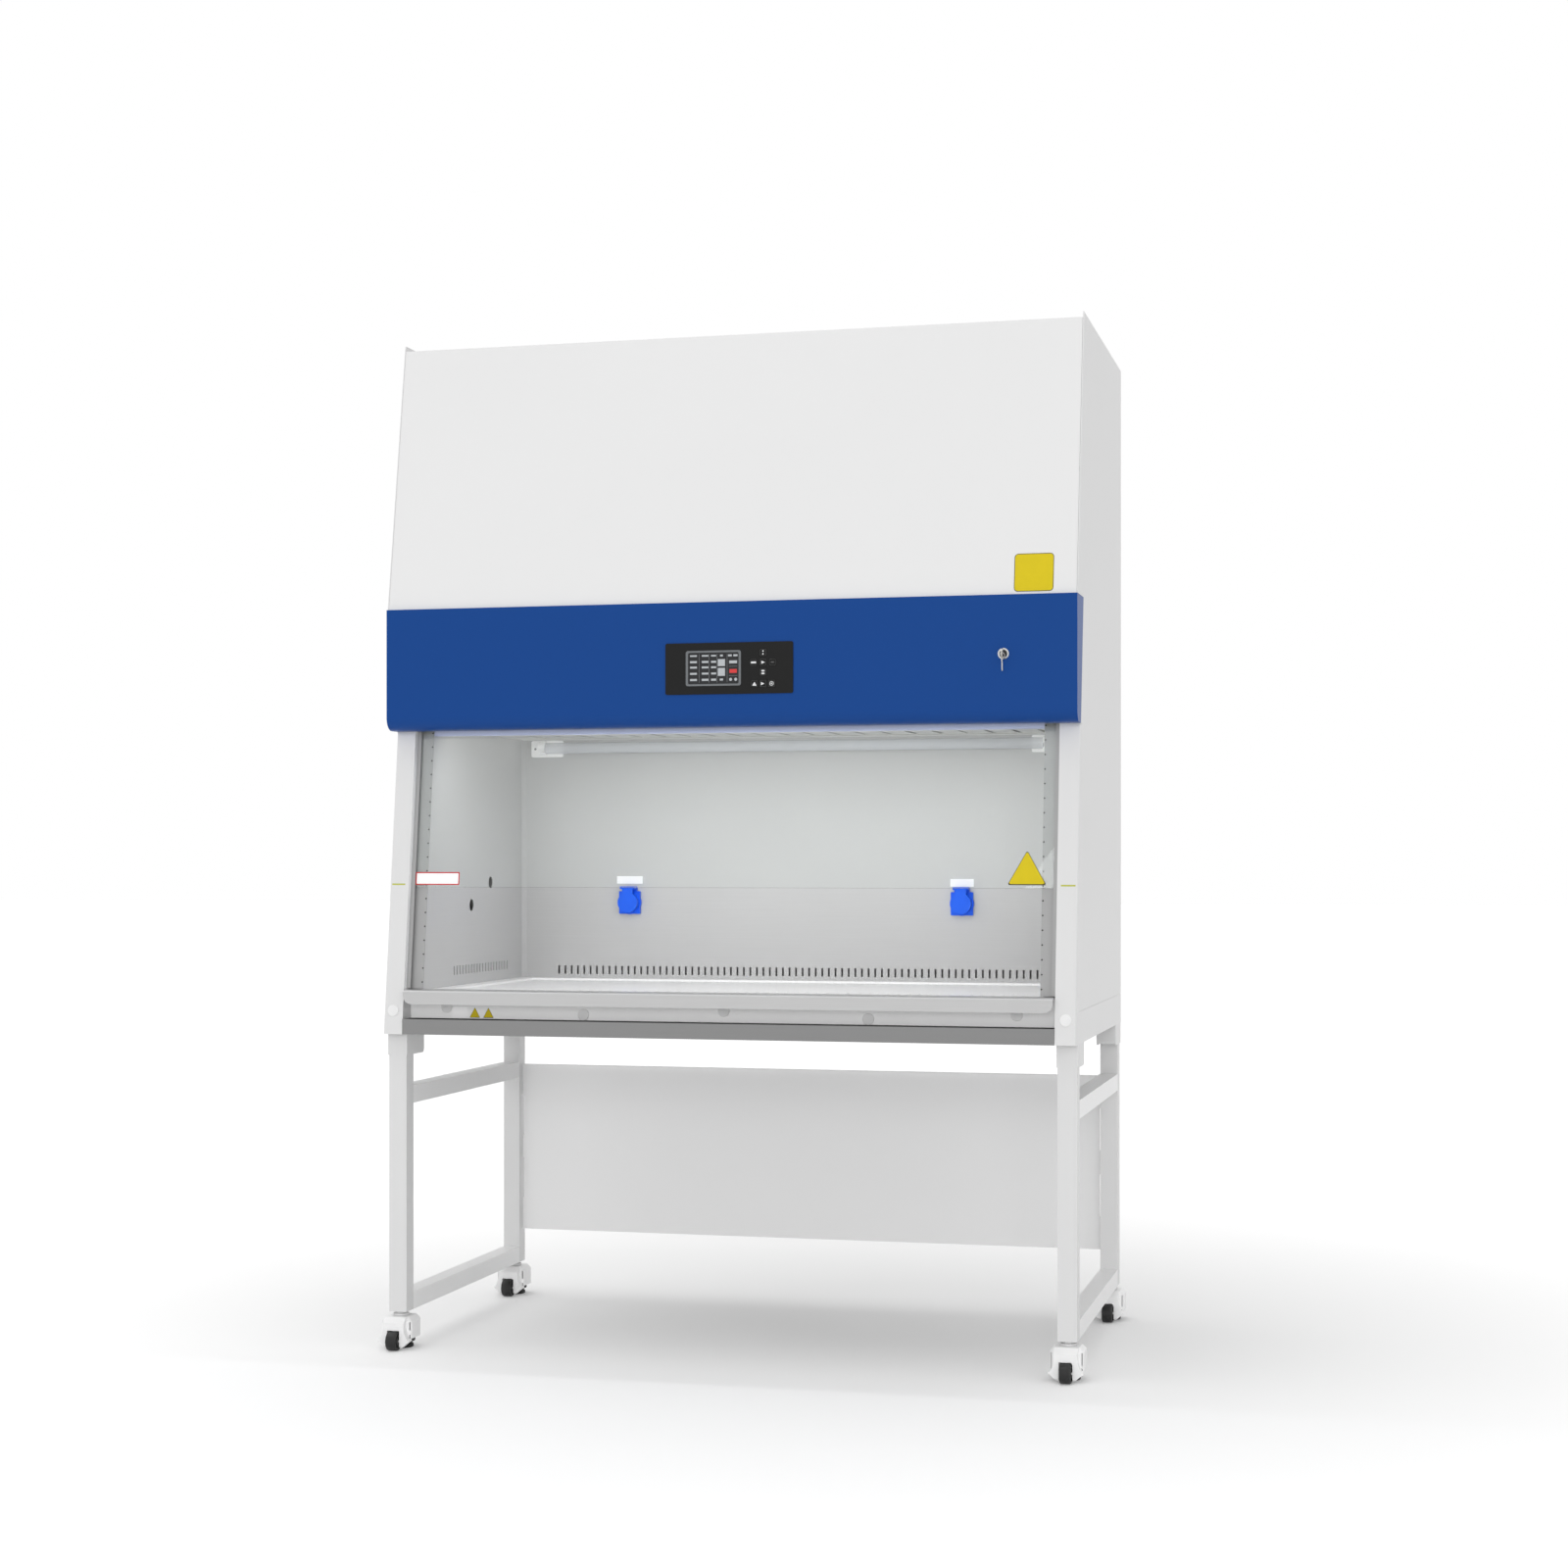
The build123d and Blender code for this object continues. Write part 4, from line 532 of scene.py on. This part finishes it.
def on_glass(x, z):
    """A point on the pane's front face at a height above the floor."""
    return (x, glass_low.y + (z - glass_front_z) * math.tan(lean), z)


rimmed(("notice_triangle", "notice_triangle_rim"), triangle_outline(0.081, 0.072, 0.003),
       triangle_outline(0.0765, 0.068, 0.0028), on_glass(0.6415, 1.0435), slope, outwards,
       yellow_film, dark_ink_and_hole_shade, "sash")
rimmed(("notice_strip", "notice_strip_rim"), rounded_outline(0.101, 0.028, 0.001),
       rounded_outline(0.096, 0.023, 0.001), on_glass(-0.6465, 1.0195), slope, outwards,
       white_film_painted_light, red_film, "sash")

back_wall_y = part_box("liner_back")[1].y - 0.002
for side, x, width, z in (("left", -0.408, 0.064, 1.0125), ("right", 0.3955, 0.055, 1.007)):
    plate(f"outlet_strip_{side}", rounded_outline(width, 0.018, 0.001), (x, back_wall_y, z),
          sideways, upwards, forwards, plate_thickness, white_film_painted_light, "cabinet")

kick_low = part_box("lower_front_panel")[0]
kick_middle = kick_low.z + 0.013
plate("base_strip", rounded_outline(0.034, 0.022, 0.001), (-0.592, kick_low.y, kick_middle),
      sideways, upwards, forwards, plate_thickness, white_film_painted_light, "cabinet")
for side, x in (("left", -0.5575), ("right", -0.5265)):
    rimmed((f"base_triangle_{side}", f"base_triangle_rim_{side}"), triangle_outline(0.024, 0.022, 0.001),
           triangle_outline(0.0215, 0.0197, 0.0009), (x, kick_low.y, kick_middle), upwards, forwards,
           yellow_film, dark_ink_and_hole_shade, "cabinet")

post_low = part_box("side_panel_right")[0]
tick_x, tick_z = 0.729, 1.007
green_film = film("green_film", tick_green)
for side, x in (("left", -tick_x), ("right", tick_x)):
    tick_centre = (x, post_low.y + (tick_z - post_low.z) * math.tan(lean), tick_z)
    plate(f"sash_mark_{side}", rounded_outline(0.030, 0.003, 0.0005), tick_centre, sideways, slope,
          outwards, plate_thickness, green_film, "cabinet")

# ------------------------------------------------------------------ guide holes
# The guides' rear flanges are pierced all the way up for the screws that hold them.  The holes
# are not cut: each is a flat black disc, painted shade for the dark inside it.
hole_pitch = 0.0303
hole_radius = 0.0019
hole_sides = 10
hole_x = 0.6742
flange_depth = 0.02445
hole_along = np.arange(0.115, 1.18, hole_pitch)
hole_turn = np.arange(hole_sides) * 2 * math.pi / hole_sides
rim = np.stack([np.cos(hole_turn), np.sin(hole_turn)], 1) * hole_radius
post_foot = np.array([0.0, post_low.y, post_low.z])
for side, x in (("left", -hole_x), ("right", hole_x)):
    middles = post_foot + x * sideways + hole_along[:, None] * slope - flange_depth * outwards
    discs = middles[:, None, :] + rim[None, :, :1] * sideways + rim[None, :, 1:] * slope
    holes = np.arange(len(middles))[:, None] * hole_sides + np.arange(hole_sides)
    make_piece(f"guide_hole_shade_{side}", discs, holes.tolist(), dark_ink_and_hole_shade, "cabinet")

# ------------------------------------------------------------------ control panel
# A black moulding with a grey-rimmed screen.  The screen shows plain blocks, and each rubber
# key carries a thin outline and a simple mark, pressed with the key.
panel_black = (0.009, 0.009, 0.009)
rim_grey = (0.16, 0.17, 0.18)
screen_black = (0.012, 0.013, 0.015)
mark_white = (0.78, 0.79, 0.80)
mark_dim = (0.10, 0.10, 0.10)
screen_white = (0.42, 0.44, 0.46)
screen_red = (0.55, 0.03, 0.03)
mark_lift = 0.00015


def moulded(name, colour, roughness=0.45, grain=0.00003, scale=700.0, gloss=0.4):
    """Moulded plastic or rubber: an even colour with a fine spark-eroded grain."""
    material, tree, surface = new_material(name)
    mottle, sheen = noise(tree, 25.0, 2.0), noise(tree, scale / 2, 2.0)
    join(tree, tint(tree, mottle, shade(colour, 0.94), shade(colour, 1.06)), surface.inputs["Base Color"])
    join(tree, between(tree, sheen, roughness - 0.07, roughness + 0.07), surface.inputs["Roughness"])
    relief(tree, surface, noise(tree, scale, 2.0), grain)
    surface.inputs["Specular IOR Level"].default_value = gloss
    return material


def glowing(name, colour, strength):
    """A lit mark on a screen: a glossy face with some light of its own."""
    material, tree, surface = new_material(name)
    flicker = noise(tree, 400.0, 1.0)
    join(tree, tint(tree, flicker, shade(colour, 0.9), shade(colour, 1.1)), surface.inputs["Base Color"])
    surface.inputs["Emission Color"].default_value = (*colour, 1.0)
    surface.inputs["Emission Strength"].default_value = strength
    surface.inputs["Roughness"].default_value = 0.3
    return material


def blocks(name, centres, sizes, face_y, material, body):
    """A sheet of small upright tiles: each has eight corners, centre plus or minus half its size."""
    centres = np.asarray(centres, float)
    halves = np.asarray(sizes, float) / 2
    signs = np.array([(-1, -1), (1, -1), (1, 1), (-1, 1)])
    flat = centres[:, None, :] + signs[None] * halves[:, None, :]
    depth = np.array([face_y, face_y - mark_lift])
    corners = np.empty((len(centres), 2, 4, 3))
    corners[..., 0] = flat[:, None, :, 0]
    corners[..., 2] = flat[:, None, :, 1]
    corners[..., 1] = depth[None, :, None]
    tile = np.array([(3, 2, 1, 0), (4, 5, 6, 7), (0, 1, 5, 4), (1, 2, 6, 5), (2, 3, 7, 6), (3, 0, 4, 7)])
    faces = (np.arange(len(centres))[:, None, None] * 8 + tile[None]).reshape(-1, 4)
    return make_piece(name, corners, faces.tolist(), material, body)


paint(moulded("panel_black", panel_black, 0.5, gloss=0.22), "control_panel")
paint(moulded("screen_black", screen_black, 0.14, 0.000004), "display")
screen_low, screen_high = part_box("display")
screen_middle = np.array([(screen_low.x + screen_high.x) / 2, (screen_low.z + screen_high.z) / 2])
screen_size = (screen_high.x - screen_low.x, screen_high.z - screen_low.z)
screen_place = (screen_middle[0], screen_low.y, screen_middle[1])
band("screen_rim", rounded_outline(*screen_size, 0.005),
     rounded_outline(screen_size[0] - 0.010, screen_size[1] - 0.008, 0.003), screen_place, sideways, upwards,
     forwards, 0.0008, moulded("rim_grey", rim_grey, 0.3), "cabinet")

column_x = np.array([-0.0433, -0.0180, 0.0005, 0.0176, 0.0430])
column_w = np.array([0.0150, 0.0145, 0.0110, 0.0150, 0.0170])
row_z = np.array([0.0263, 0.0135, 0.0020, -0.0110, -0.0240])
row_h = np.array([0.0045, 0.0060, 0.0055, 0.0055, 0.0060])
grid_x, grid_z = np.meshgrid(column_x[:3], row_z)
grid_w, grid_h = np.meshgrid(column_w[:3], row_h * np.array(0.72))
extra = [(0.0176, 0.0263, 0.006, 0.004), (0.0360, 0.0263, 0.008, 0.004), (0.0480, 0.0263, 0.009, 0.004),
         (0.0176, 0.0115, 0.0155, 0.0145), (0.0176, -0.0080, 0.0155, 0.0165), (0.0176, -0.0240, 0.007, 0.004),
         (0.0430, 0.0125, 0.017, 0.006)]
tiles = np.concatenate([np.stack([a.ravel() for a in (grid_x, grid_z, grid_w, grid_h)], 1), np.array(extra)])
screen_lit = glowing("screen_white", screen_white, 0.16)
blocks("screen_blocks", screen_middle + tiles[:, :2], tiles[:, 2:], screen_low.y, screen_lit, "cabinet")
blocks("screen_alert", screen_middle + np.array([[0.0430, -0.0065]]), [(0.016, 0.008)], screen_low.y,
       glowing("screen_red", screen_red, 0.22), "cabinet")
rule_x = np.array([-0.0310, -0.0095, 0.0082, 0.0300])
rules = [(x, 0.0, 0.0006, 0.060) for x in rule_x] + [(0.0430, z, 0.018, 0.0006) for z in (0.0035, -0.0160)]
rules = np.array(rules)
blocks("screen_rules", screen_middle + rules[:, :2], rules[:, 2:], screen_low.y,
       glowing("rule_grey", shade(screen_white, 0.45), 0.2), "cabinet")

dots = [(0.0375, -0.0240), (0.0485, -0.0240)]
disc_turn = np.arange(20) * math.pi / 10
disc = np.stack([np.cos(disc_turn), np.sin(disc_turn)], 1)
for number, (x, z) in enumerate(dots):
    plate(f"screen_dot_{number}", disc * 0.0032, (screen_middle[0] + x, screen_low.y, screen_middle[1] + z),
          sideways, upwards, forwards, mark_lift, screen_lit, "cabinet")

key_rubber = moulded("key_rubber", panel_black, 0.6, gloss=0.22)
mark_paint = film("mark_white", mark_white)
dim_paint = film("mark_dim", mark_dim)
bar = rounded_outline(0.0115, 0.0040, 0.001, 3)
short_bar = rounded_outline(0.0070, 0.0032, 0.001, 3)
arrow = np.array([(-0.0035, -0.0035), (0.0045, 0.0), (-0.0035, 0.0035)])
peak = triangle_outline(0.010, 0.0085, 0.0008)
dot = disc * 0.0016
key_marks = {
    "key_up": ((dot, 0.0, 0.0030), (dot, 0.0, -0.0030)),
    "key_left": ((bar, 0.0, 0.0),),
    "key_middle": ((arrow, 0.0, 0.0),),
    "key_right": ((short_bar, 0.0, 0.0),),
    "key_down": ((short_bar, 0.0, 0.0028), (short_bar, 0.0, -0.0028)),
    "key_low_left": ((peak, 0.0, 0.0),),
    "key_low_middle": ((arrow, -0.001, 0.0),),
    "key_low_right": ((dot, 0.0, 0.0),),
}
for key, marks in key_marks.items():
    paint(key_rubber, key)
    low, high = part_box(key)
    middle = ((low.x + high.x) / 2, low.y, (low.z + high.z) / 2)
    body = "pad_" + key[4:]
    band(key + "_outline", rounded_outline(0.0136, 0.0136, 0.002), rounded_outline(0.0126, 0.0126, 0.0015),
         middle, sideways, upwards, forwards, mark_lift, dim_paint, body)
    ink = dim_paint if key == "key_right" else mark_paint
    for number, (outline, x, z) in enumerate(marks):
        plate(f"{key}_mark_{number}", outline, (middle[0] + x, low.y, middle[2] + z), sideways, upwards,
              forwards, mark_lift, ink, body)
    if key == "key_low_right":
        band(key + "_ring", disc * 0.0046, disc * 0.0034, middle, sideways, upwards, forwards, mark_lift,
             mark_paint, body)

# ------------------------------------------------------------------ key switch
# A chromed ring round the barrel, a nickel key in its plug, and the spare on a split ring
# that hangs from the key's bow.
chrome_grey = (0.62, 0.62, 0.62)
nickel = (0.62, 0.60, 0.56)


def polished(name, colour, roughness):
    """Plated metal with a few faint smears in its polish."""
    material, tree, surface = new_material(name)
    smear = noise(tree, 90.0, 3.0)
    join(tree, tint(tree, smear, shade(colour, 0.94), shade(colour, 1.06)), surface.inputs["Base Color"])
    join(tree, between(tree, smear, roughness - 0.05, roughness + 0.08), surface.inputs["Roughness"])
    surface.inputs["Metallic"].default_value = 1.0
    relief(tree, surface, noise(tree, 900.0, 1.0), 0.000006)
    return material


def loop_surface(points):
    """Quad faces of a grid that closes on itself both ways."""
    rows, columns = points.shape[:2]
    i, j = np.meshgrid(np.arange(rows), np.arange(columns), indexing="ij")
    here, below, ahead = i * columns, (i + 1) % rows * columns, (j + 1) % columns
    return np.stack([here + j, below + j, below + ahead, here + ahead], -1).reshape(-1, 4)


def torus(centre, ring, wire, around=40, across=8):
    """Points at centre + (ring + wire cos b)(cos a X + sin a Z) + wire sin b Y."""
    a = np.arange(around)[:, None] * 2 * math.pi / around
    b = np.arange(across)[None, :] * 2 * math.pi / across
    reach = ring + wire * np.cos(b)
    points = np.stack([reach * np.cos(a), wire * np.sin(b) + 0 * a, reach * np.sin(a)], -1)
    return points + np.asarray(centre)


chrome = polished("chrome", chrome_grey, 0.16)
key_nickel = polished("key_nickel", nickel, 0.28)
paint(chrome, "lock_barrel")
key_low, key_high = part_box("lock_key")
key_x, key_z = (key_low.x + key_high.x) / 2, (key_low.z + key_high.z) / 2
ring_face_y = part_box("lock_barrel")[0].y

plug_and_key, tree, surface = new_material("plug_and_key")
depth = tree.nodes.new("ShaderNodeSeparateXYZ")
join(tree, tree.nodes.new("ShaderNodeTexCoord").outputs["Object"], depth.inputs[0])
behind = tree.nodes.new("ShaderNodeMath")
behind.operation = "GREATER_THAN"
behind.inputs[1].default_value = ring_face_y - 0.0002
join(tree, depth.outputs["Y"], behind.inputs[0])
join(tree, tint(tree, behind.outputs[0], nickel, panel_black), surface.inputs["Base Color"])
join(tree, between(tree, behind.outputs[0], 1.0, 0.0), surface.inputs["Metallic"])
join(tree, between(tree, noise(tree, 90.0, 3.0), 0.22, 0.38), surface.inputs["Roughness"])
paint(plug_and_key, "lock_key")

bow_radius = 0.010
ring_radius = 0.0052
wire_radius = 0.0006
bow_y = key_low.y + bow_radius
ring_points = torus((key_x, bow_y, key_z - ring_radius + 0.001), ring_radius, wire_radius)
make_piece("key_ring", ring_points, loop_surface(ring_points).tolist(), chrome, "switch_key")
bow_turn = np.linspace(-math.pi / 3, math.pi * 4 / 3, 16)
spare_shape = np.concatenate([
    np.stack([np.cos(bow_turn), np.sin(bow_turn)], 1) * 0.0055,
    np.array([(-0.0022, -0.0065), (-0.0022, -0.0190), (0.0, -0.0215), (0.0022, -0.0190), (0.0022, -0.0065)]),
])
spare_thickness = 0.0022
spare_drop = 0.0145
plate("spare_key", spare_shape, (key_x - spare_thickness / 2, bow_y, key_z - spare_drop), -forwards,
      upwards, sideways, spare_thickness, key_nickel, "switch_key")

# ------------------------------------------------------------------ outlets
# Splash-proof sockets in bright blue plastic, with sprung lids.
socket_blue = (0.010, 0.125, 0.88)
paint(moulded("socket_blue", socket_blue, 0.38), "outlet_bases", "outlet_lid_left", "outlet_lid_right")

# ------------------------------------------------------------------ lamps
# The work light is a frosted lilac strip under the ceiling.  The ultraviolet lamp is a clear
# tube between two white holders on plates.
diffuser_lilac = (0.42, 0.46, 0.68)
tube_white = (0.80, 0.82, 0.86)
holder_white = (0.88, 0.88, 0.88)
lilac_light = (0.85, 0.87, 1.0)
lamp_and_painted_glow = 0.12
strip_share = 0.86
strip_depth = 0.04
strip_watts = 3.4
strip_turn = 32.0


def add_glow(material, colour):
    """Adds a faint glow to a finish: the work light's own light on its diffuser, and painted light on the
    lamp holders.
    """
    surface = opened(material)[1]
    surface.inputs["Emission Color"].default_value = (*colour, 1.0)
    surface.inputs["Emission Strength"].default_value = lamp_and_painted_glow
    return material


paint(add_glow(moulded("diffuser", diffuser_lilac, 0.5, 0.00002), lilac_light), "work_light")
light_low, light_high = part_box("work_light")
strip = bpy.data.lights.new("work_strip", "AREA")
strip.shape = "RECTANGLE"
strip.size = (light_high.x - light_low.x) * strip_share
strip.size_y = strip_depth
strip.energy = strip_watts
strip_object = bpy.data.objects.new("work_strip", strip)
strip_object.location = (0.0, (light_low.y + light_high.y) / 2, light_low.z - 0.004)
strip_object.rotation_euler = (math.radians(strip_turn), 0.0, 0.0)
strip_object.visible_camera = False
strip_object.visible_glossy = False
strip_object.visible_transmission = False
bpy.context.scene.collection.objects.link(strip_object)
tube_glass, tree, surface = new_material("tube_glass")
surface.inputs["Base Color"].default_value = (*tube_white, 1.0)
surface.inputs["Alpha"].default_value = 0.45
join(tree, between(tree, noise(tree, 30.0, 2.0), 0.05, 0.15), surface.inputs["Roughness"])
paint(tube_glass, "uv_lamp")
# Painted light: the holders glow faintly, though they are no lamp.
paint(add_glow(moulded("holder_white", holder_white, 0.4), (1.0, 1.0, 1.0)), "lamp_holders")
paint(moulded("plug_white", holder_white, 0.4), "cover_plugs")
holder_low, holder_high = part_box("lamp_holders")
plate_face_y = holder_high.y - 0.003
screw_pitch = 0.030
plate_middle = 0.040
screw_z = (holder_low.z + holder_high.z) / 2
for side, end, inward in (("left", holder_low.x, 1), ("right", holder_high.x, -1)):
    for number, reach in enumerate((-screw_pitch, screw_pitch)):
        place = (end + inward * (plate_middle + reach), plate_face_y, screw_z)
        plate(f"lamp_screw_{side}_{number}", disc * 0.0028, place, sideways, upwards, forwards, 0.0012,
              chrome, "cabinet")

# ------------------------------------------------------------------ air handling
# Inside the skins: two filters of folded white paper, a galvanised plenum and blower housing,
# a grey blower wheel, and the sash's zinc-plated drive with its rubber belts.
filter_white = (0.80, 0.80, 0.77)
zinc_grey = (0.52, 0.53, 0.54)
cast_grey = (0.22, 0.23, 0.24)
belt_black = (0.03, 0.03, 0.03)


def spangled(name, colour, scale):
    """Hot-dip zinc: patches of crystals, each a little lighter or duller than the next."""
    material, tree, surface = new_material(name)
    crystal = tree.nodes.new("ShaderNodeTexVoronoi")
    crystal.inputs["Scale"].default_value = scale
    join(tree, tree.nodes.new("ShaderNodeTexCoord").outputs["Object"], crystal.inputs["Vector"])
    patch = tree.nodes.new("ShaderNodeSeparateColor")
    join(tree, crystal.outputs["Color"], patch.inputs[0])
    spangle = tint(tree, patch.outputs[0], shade(colour, 0.85), shade(colour, 1.15))
    join(tree, spangle, surface.inputs["Base Color"])
    join(tree, between(tree, patch.outputs[1], 0.35, 0.55), surface.inputs["Roughness"])
    surface.inputs["Metallic"].default_value = 0.85
    return material


paint(spangled("galvanised", zinc_grey, 60.0), "plenum_box", "blower_housing")
paint(spangled("zinc_plate", shade(zinc_grey, 1.1), 900.0), "drive_shaft", "return_shaft", "sash_clamps")
paint(powder_coat("cast_grey", cast_grey), "blower_wheel", "sash_motor")
paint(moulded("belt_black", belt_black, 0.7), "drive_belts")
paint(moulded("filter_paper", filter_white, 0.8, 0.0001, 300.0), "supply_filter", "exhaust_filter")

# ------------------------------------------------------------------ mains gland
# Black nylon gland on the back, its bore open for the lead.
paint(moulded("gland_black", panel_black, 0.5), "mains_gland")

# ------------------------------------------------------------------ panel screws
# The back and top panels are held by rows of zinc-plated pan-head screws.
screw_radius = 0.0045
screw_height = 0.0022
screw_sides = 14


def screw_heads(name, centres, across, up, out, body):
    """Domes of revolution: ring k has radius r cos(k) and height h sin(k), closed by its pole."""
    level = np.linspace(0.0, math.pi / 2, 5)[:-1]
    turn = np.arange(screw_sides) * 2 * math.pi / screw_sides
    rings = np.stack([
        np.cos(level)[:, None] * np.cos(turn) * screw_radius,
        np.cos(level)[:, None] * np.sin(turn) * screw_radius,
        np.sin(level)[:, None] * screw_height + 0 * turn,
    ], -1).reshape(-1, 3)
    dome = np.concatenate([rings, [(0.0, 0.0, screw_height)]])
    rows = len(level)
    i, j = np.meshgrid(np.arange(rows - 1), np.arange(screw_sides), indexing="ij")
    ahead = (j + 1) % screw_sides
    walls = np.stack([i * screw_sides + j, i * screw_sides + ahead, (i + 1) * screw_sides + ahead,
                      (i + 1) * screw_sides + j], -1).reshape(-1, 4)
    rim = np.arange(screw_sides) + (rows - 1) * screw_sides
    cap = np.stack([rim, np.roll(rim, -1), np.full(screw_sides, len(dome) - 1)], 1)
    places = np.asarray(centres, float)
    points = places[:, None, :] + dome @ np.stack([across, up, out])
    base = np.arange(screw_sides)[::-1]
    faces = []
    for screw in range(len(places)):
        shift = screw * len(dome)
        faces += (walls + shift).tolist() + (cap + shift).tolist() + [(base + shift).tolist()]
    return make_piece(name, points, faces, chrome, body)


def border(first, second):
    """The spots on a grid's outer edge, and the grid's two coordinates."""
    one, two = np.meshgrid(first, second)
    edge = (one == first[0]) | (one == first[-1]) | (two == second[0]) | (two == second[-1])
    return edge, one, two


back_low, back_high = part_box("back_panel")
inset = 0.022
across_back = np.linspace(back_low.x + inset, back_high.x - inset, 9)
up_back = np.linspace(back_low.z + inset, back_high.z - inset, 9)
on_edge, edge_x, edge_z = border(across_back, up_back)
on_edge |= edge_z == up_back[4]
back_spots = np.stack([edge_x[on_edge], np.full(on_edge.sum(), back_high.y), edge_z[on_edge]], 1)
screw_heads("back_panel_screws", back_spots, -sideways, upwards, -forwards, "cabinet")
top_low, top_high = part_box("top_panel")
across_top = np.linspace(top_low.x + inset, top_high.x - inset, 9)
deep_top = np.linspace(top_low.y + inset, top_high.y - inset, 5)
on_edge, edge_x, edge_y = border(across_top, deep_top)
top_spots = np.stack([edge_x[on_edge], edge_y[on_edge], np.full(on_edge.sum(), top_high.z)], 1)
screw_heads("top_panel_screws", top_spots, sideways, -forwards, upwards, "cabinet")

# ------------------------------------------------------------------ castor hoods and wheels
# Cast hoods in a thick white coat, and black nylon wheels with a recessed web and a rounded
# tread, which turn on steel pins.
hood_white = (0.97, 0.97, 0.97)
nylon_black = (0.016, 0.016, 0.016)
wheel_side = [(-0.0120, 0.0026), (-0.0120, 0.0110), (-0.0100, 0.0116), (-0.0100, 0.0166),
              (-0.0120, 0.0172), (-0.0120, 0.0180), (-0.0112, 0.0198), (-0.0090, 0.0210)]
wheel_profile = wheel_side + [(-x, r) for x, r in wheel_side[::-1]]
wheel_steps = 48
corners = ("front_left", "front_right", "rear_left", "rear_right")


def turned(profile, count, ripple=None):
    """Surface of revolution: ring k stands at profile[k]'s place along the axis, and its radius
    is profile[k]'s times 1 + ripple(place along the axis, radius, angle)."""
    shape = np.array(profile, float)
    angle = np.arange(count) * 2 * math.pi / count
    along = np.repeat(shape[:, :1], count, 1)
    radius = np.repeat(shape[:, 1:], count, 1)
    if ripple is not None:
        radius = radius * (1 + ripple(along, radius, angle[None, :]))
    return np.stack([radius * np.cos(angle), radius * np.sin(angle), along], -1)


def ring_faces(rows, count, closed):
    """Quads between rings; the last ring joins the first, or flat caps close both ends."""
    last = rows if closed else rows - 1
    i, j = np.meshgrid(np.arange(last), np.arange(count), indexing="ij")
    below, above, ahead = i * count, (i + 1) % rows * count, (j + 1) % count
    faces = np.stack([below + j, below + ahead, above + ahead, above + j], -1).reshape(-1, 4).tolist()
    if not closed:
        faces += [list(range(count))[::-1], [(rows - 1) * count + k for k in range(count)]]
    return faces


hood_coat = powder_coat("hood_coat", hood_white, 0.35, 0.00003)
nylon = moulded("nylon_black", nylon_black, 0.38)
for corner in corners:
    paint(hood_coat, f"castor_hood_{corner}")
    low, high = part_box(f"castor_wheel_{corner}")
    hub = np.array([(low.x + high.x) / 2, (low.y + high.y) / 2, (low.z + high.z) / 2])
    points = hub + turned(wheel_profile, wheel_steps)[..., [2, 0, 1]]
    wheel = make_piece(f"wheel_{corner}", points, ring_faces(len(wheel_profile), wheel_steps, True),
                       nylon, f"wheel_{corner}")
    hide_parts(f"castor_wheel_{corner}")

# ------------------------------------------------------------------ levelling feet
# Each foot is a ribbed rubber pad under a zinc-plated screw, with a knurled thumb dial of
# black nylon clamped on it.  Turning the dial screws the pad down and lifts the wheel.
pad_black = (0.020, 0.020, 0.020)
pad_profile = [(0.0, 0.0222), (0.0010, 0.0236), (0.0030, 0.0240), (0.0040, 0.0233), (0.0050, 0.0240),
               (0.0064, 0.0236), (0.0080, 0.0218), (0.0080, 0.0036)]
dial_profile = [(0.0130, 0.0036), (0.0130, 0.0256), (0.0136, 0.0266), (0.0144, 0.0272), (0.0170, 0.0273),
                (0.0196, 0.0272), (0.0204, 0.0266), (0.0210, 0.0256), (0.0210, 0.0120), (0.0200, 0.0110),
                (0.0200, 0.0036)]
dial_flutes = 40
flute_depth = 0.016
thread_pitch = 0.0015
thread_depth = 0.11
screw_foot = 0.0080
screw_reach = 0.0499
screw_core = 0.0036
thread_steps = 6
screw_rows = int((screw_reach - screw_foot) / thread_pitch * thread_steps)
screw_profile = [(z, screw_core) for z in np.linspace(screw_foot, screw_reach, screw_rows)]
rim_radius = 0.0262


def knurl(along, radius, angle):
    """Flutes round the rim: a cosine of the angle, only where the radius is the dial's rim."""
    return flute_depth * 0.5 * (np.cos(dial_flutes * angle) - 1.0) * (radius > rim_radius)


def thread(along, radius, angle):
    """A helical ridge: it climbs one pitch a turn, as a triangle wave of height and angle."""
    climb = (along / thread_pitch - angle / (2 * math.pi)) % 1.0
    return thread_depth * (1.0 - 2.0 * np.abs(climb - 0.5))


pad_rubber = moulded("pad_rubber", pad_black, 0.6)
screw_zinc = polished("screw_zinc", shade(zinc_grey, 1.1), 0.3)
foot_pieces = (
    ("pad", pad_profile, 48, None, pad_rubber, "dark_rubber"),
    ("dial", dial_profile, 6 * dial_flutes, knurl, nylon, "grey_tyre"),
    ("screw", screw_profile, 20, thread, screw_zinc, "zinc"),
)
for corner in corners:
    low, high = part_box(f"castor_foot_{corner}")
    stem = np.array([(low.x + high.x) / 2, (low.y + high.y) / 2, low.z])
    for name, profile, count, ripple, material, finish in foot_pieces:
        piece = make_piece(f"{name}_{corner}", stem + turned(profile, count, ripple),
                           ring_faces(len(profile), count, False), material, f"foot_{corner}")
        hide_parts(f"castor_foot_{corner}")

# ------------------------------------------------------------------ finish
# Smooth shading on curved pieces, then the low and high corners of all shown pieces.
sharp_from = math.radians(32)
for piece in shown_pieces():
    if "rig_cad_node" not in piece and piece.type == "MESH":
        piece.data.shade_smooth()
        piece.data.set_sharp_from_angle(angle=sharp_from)
low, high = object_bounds()
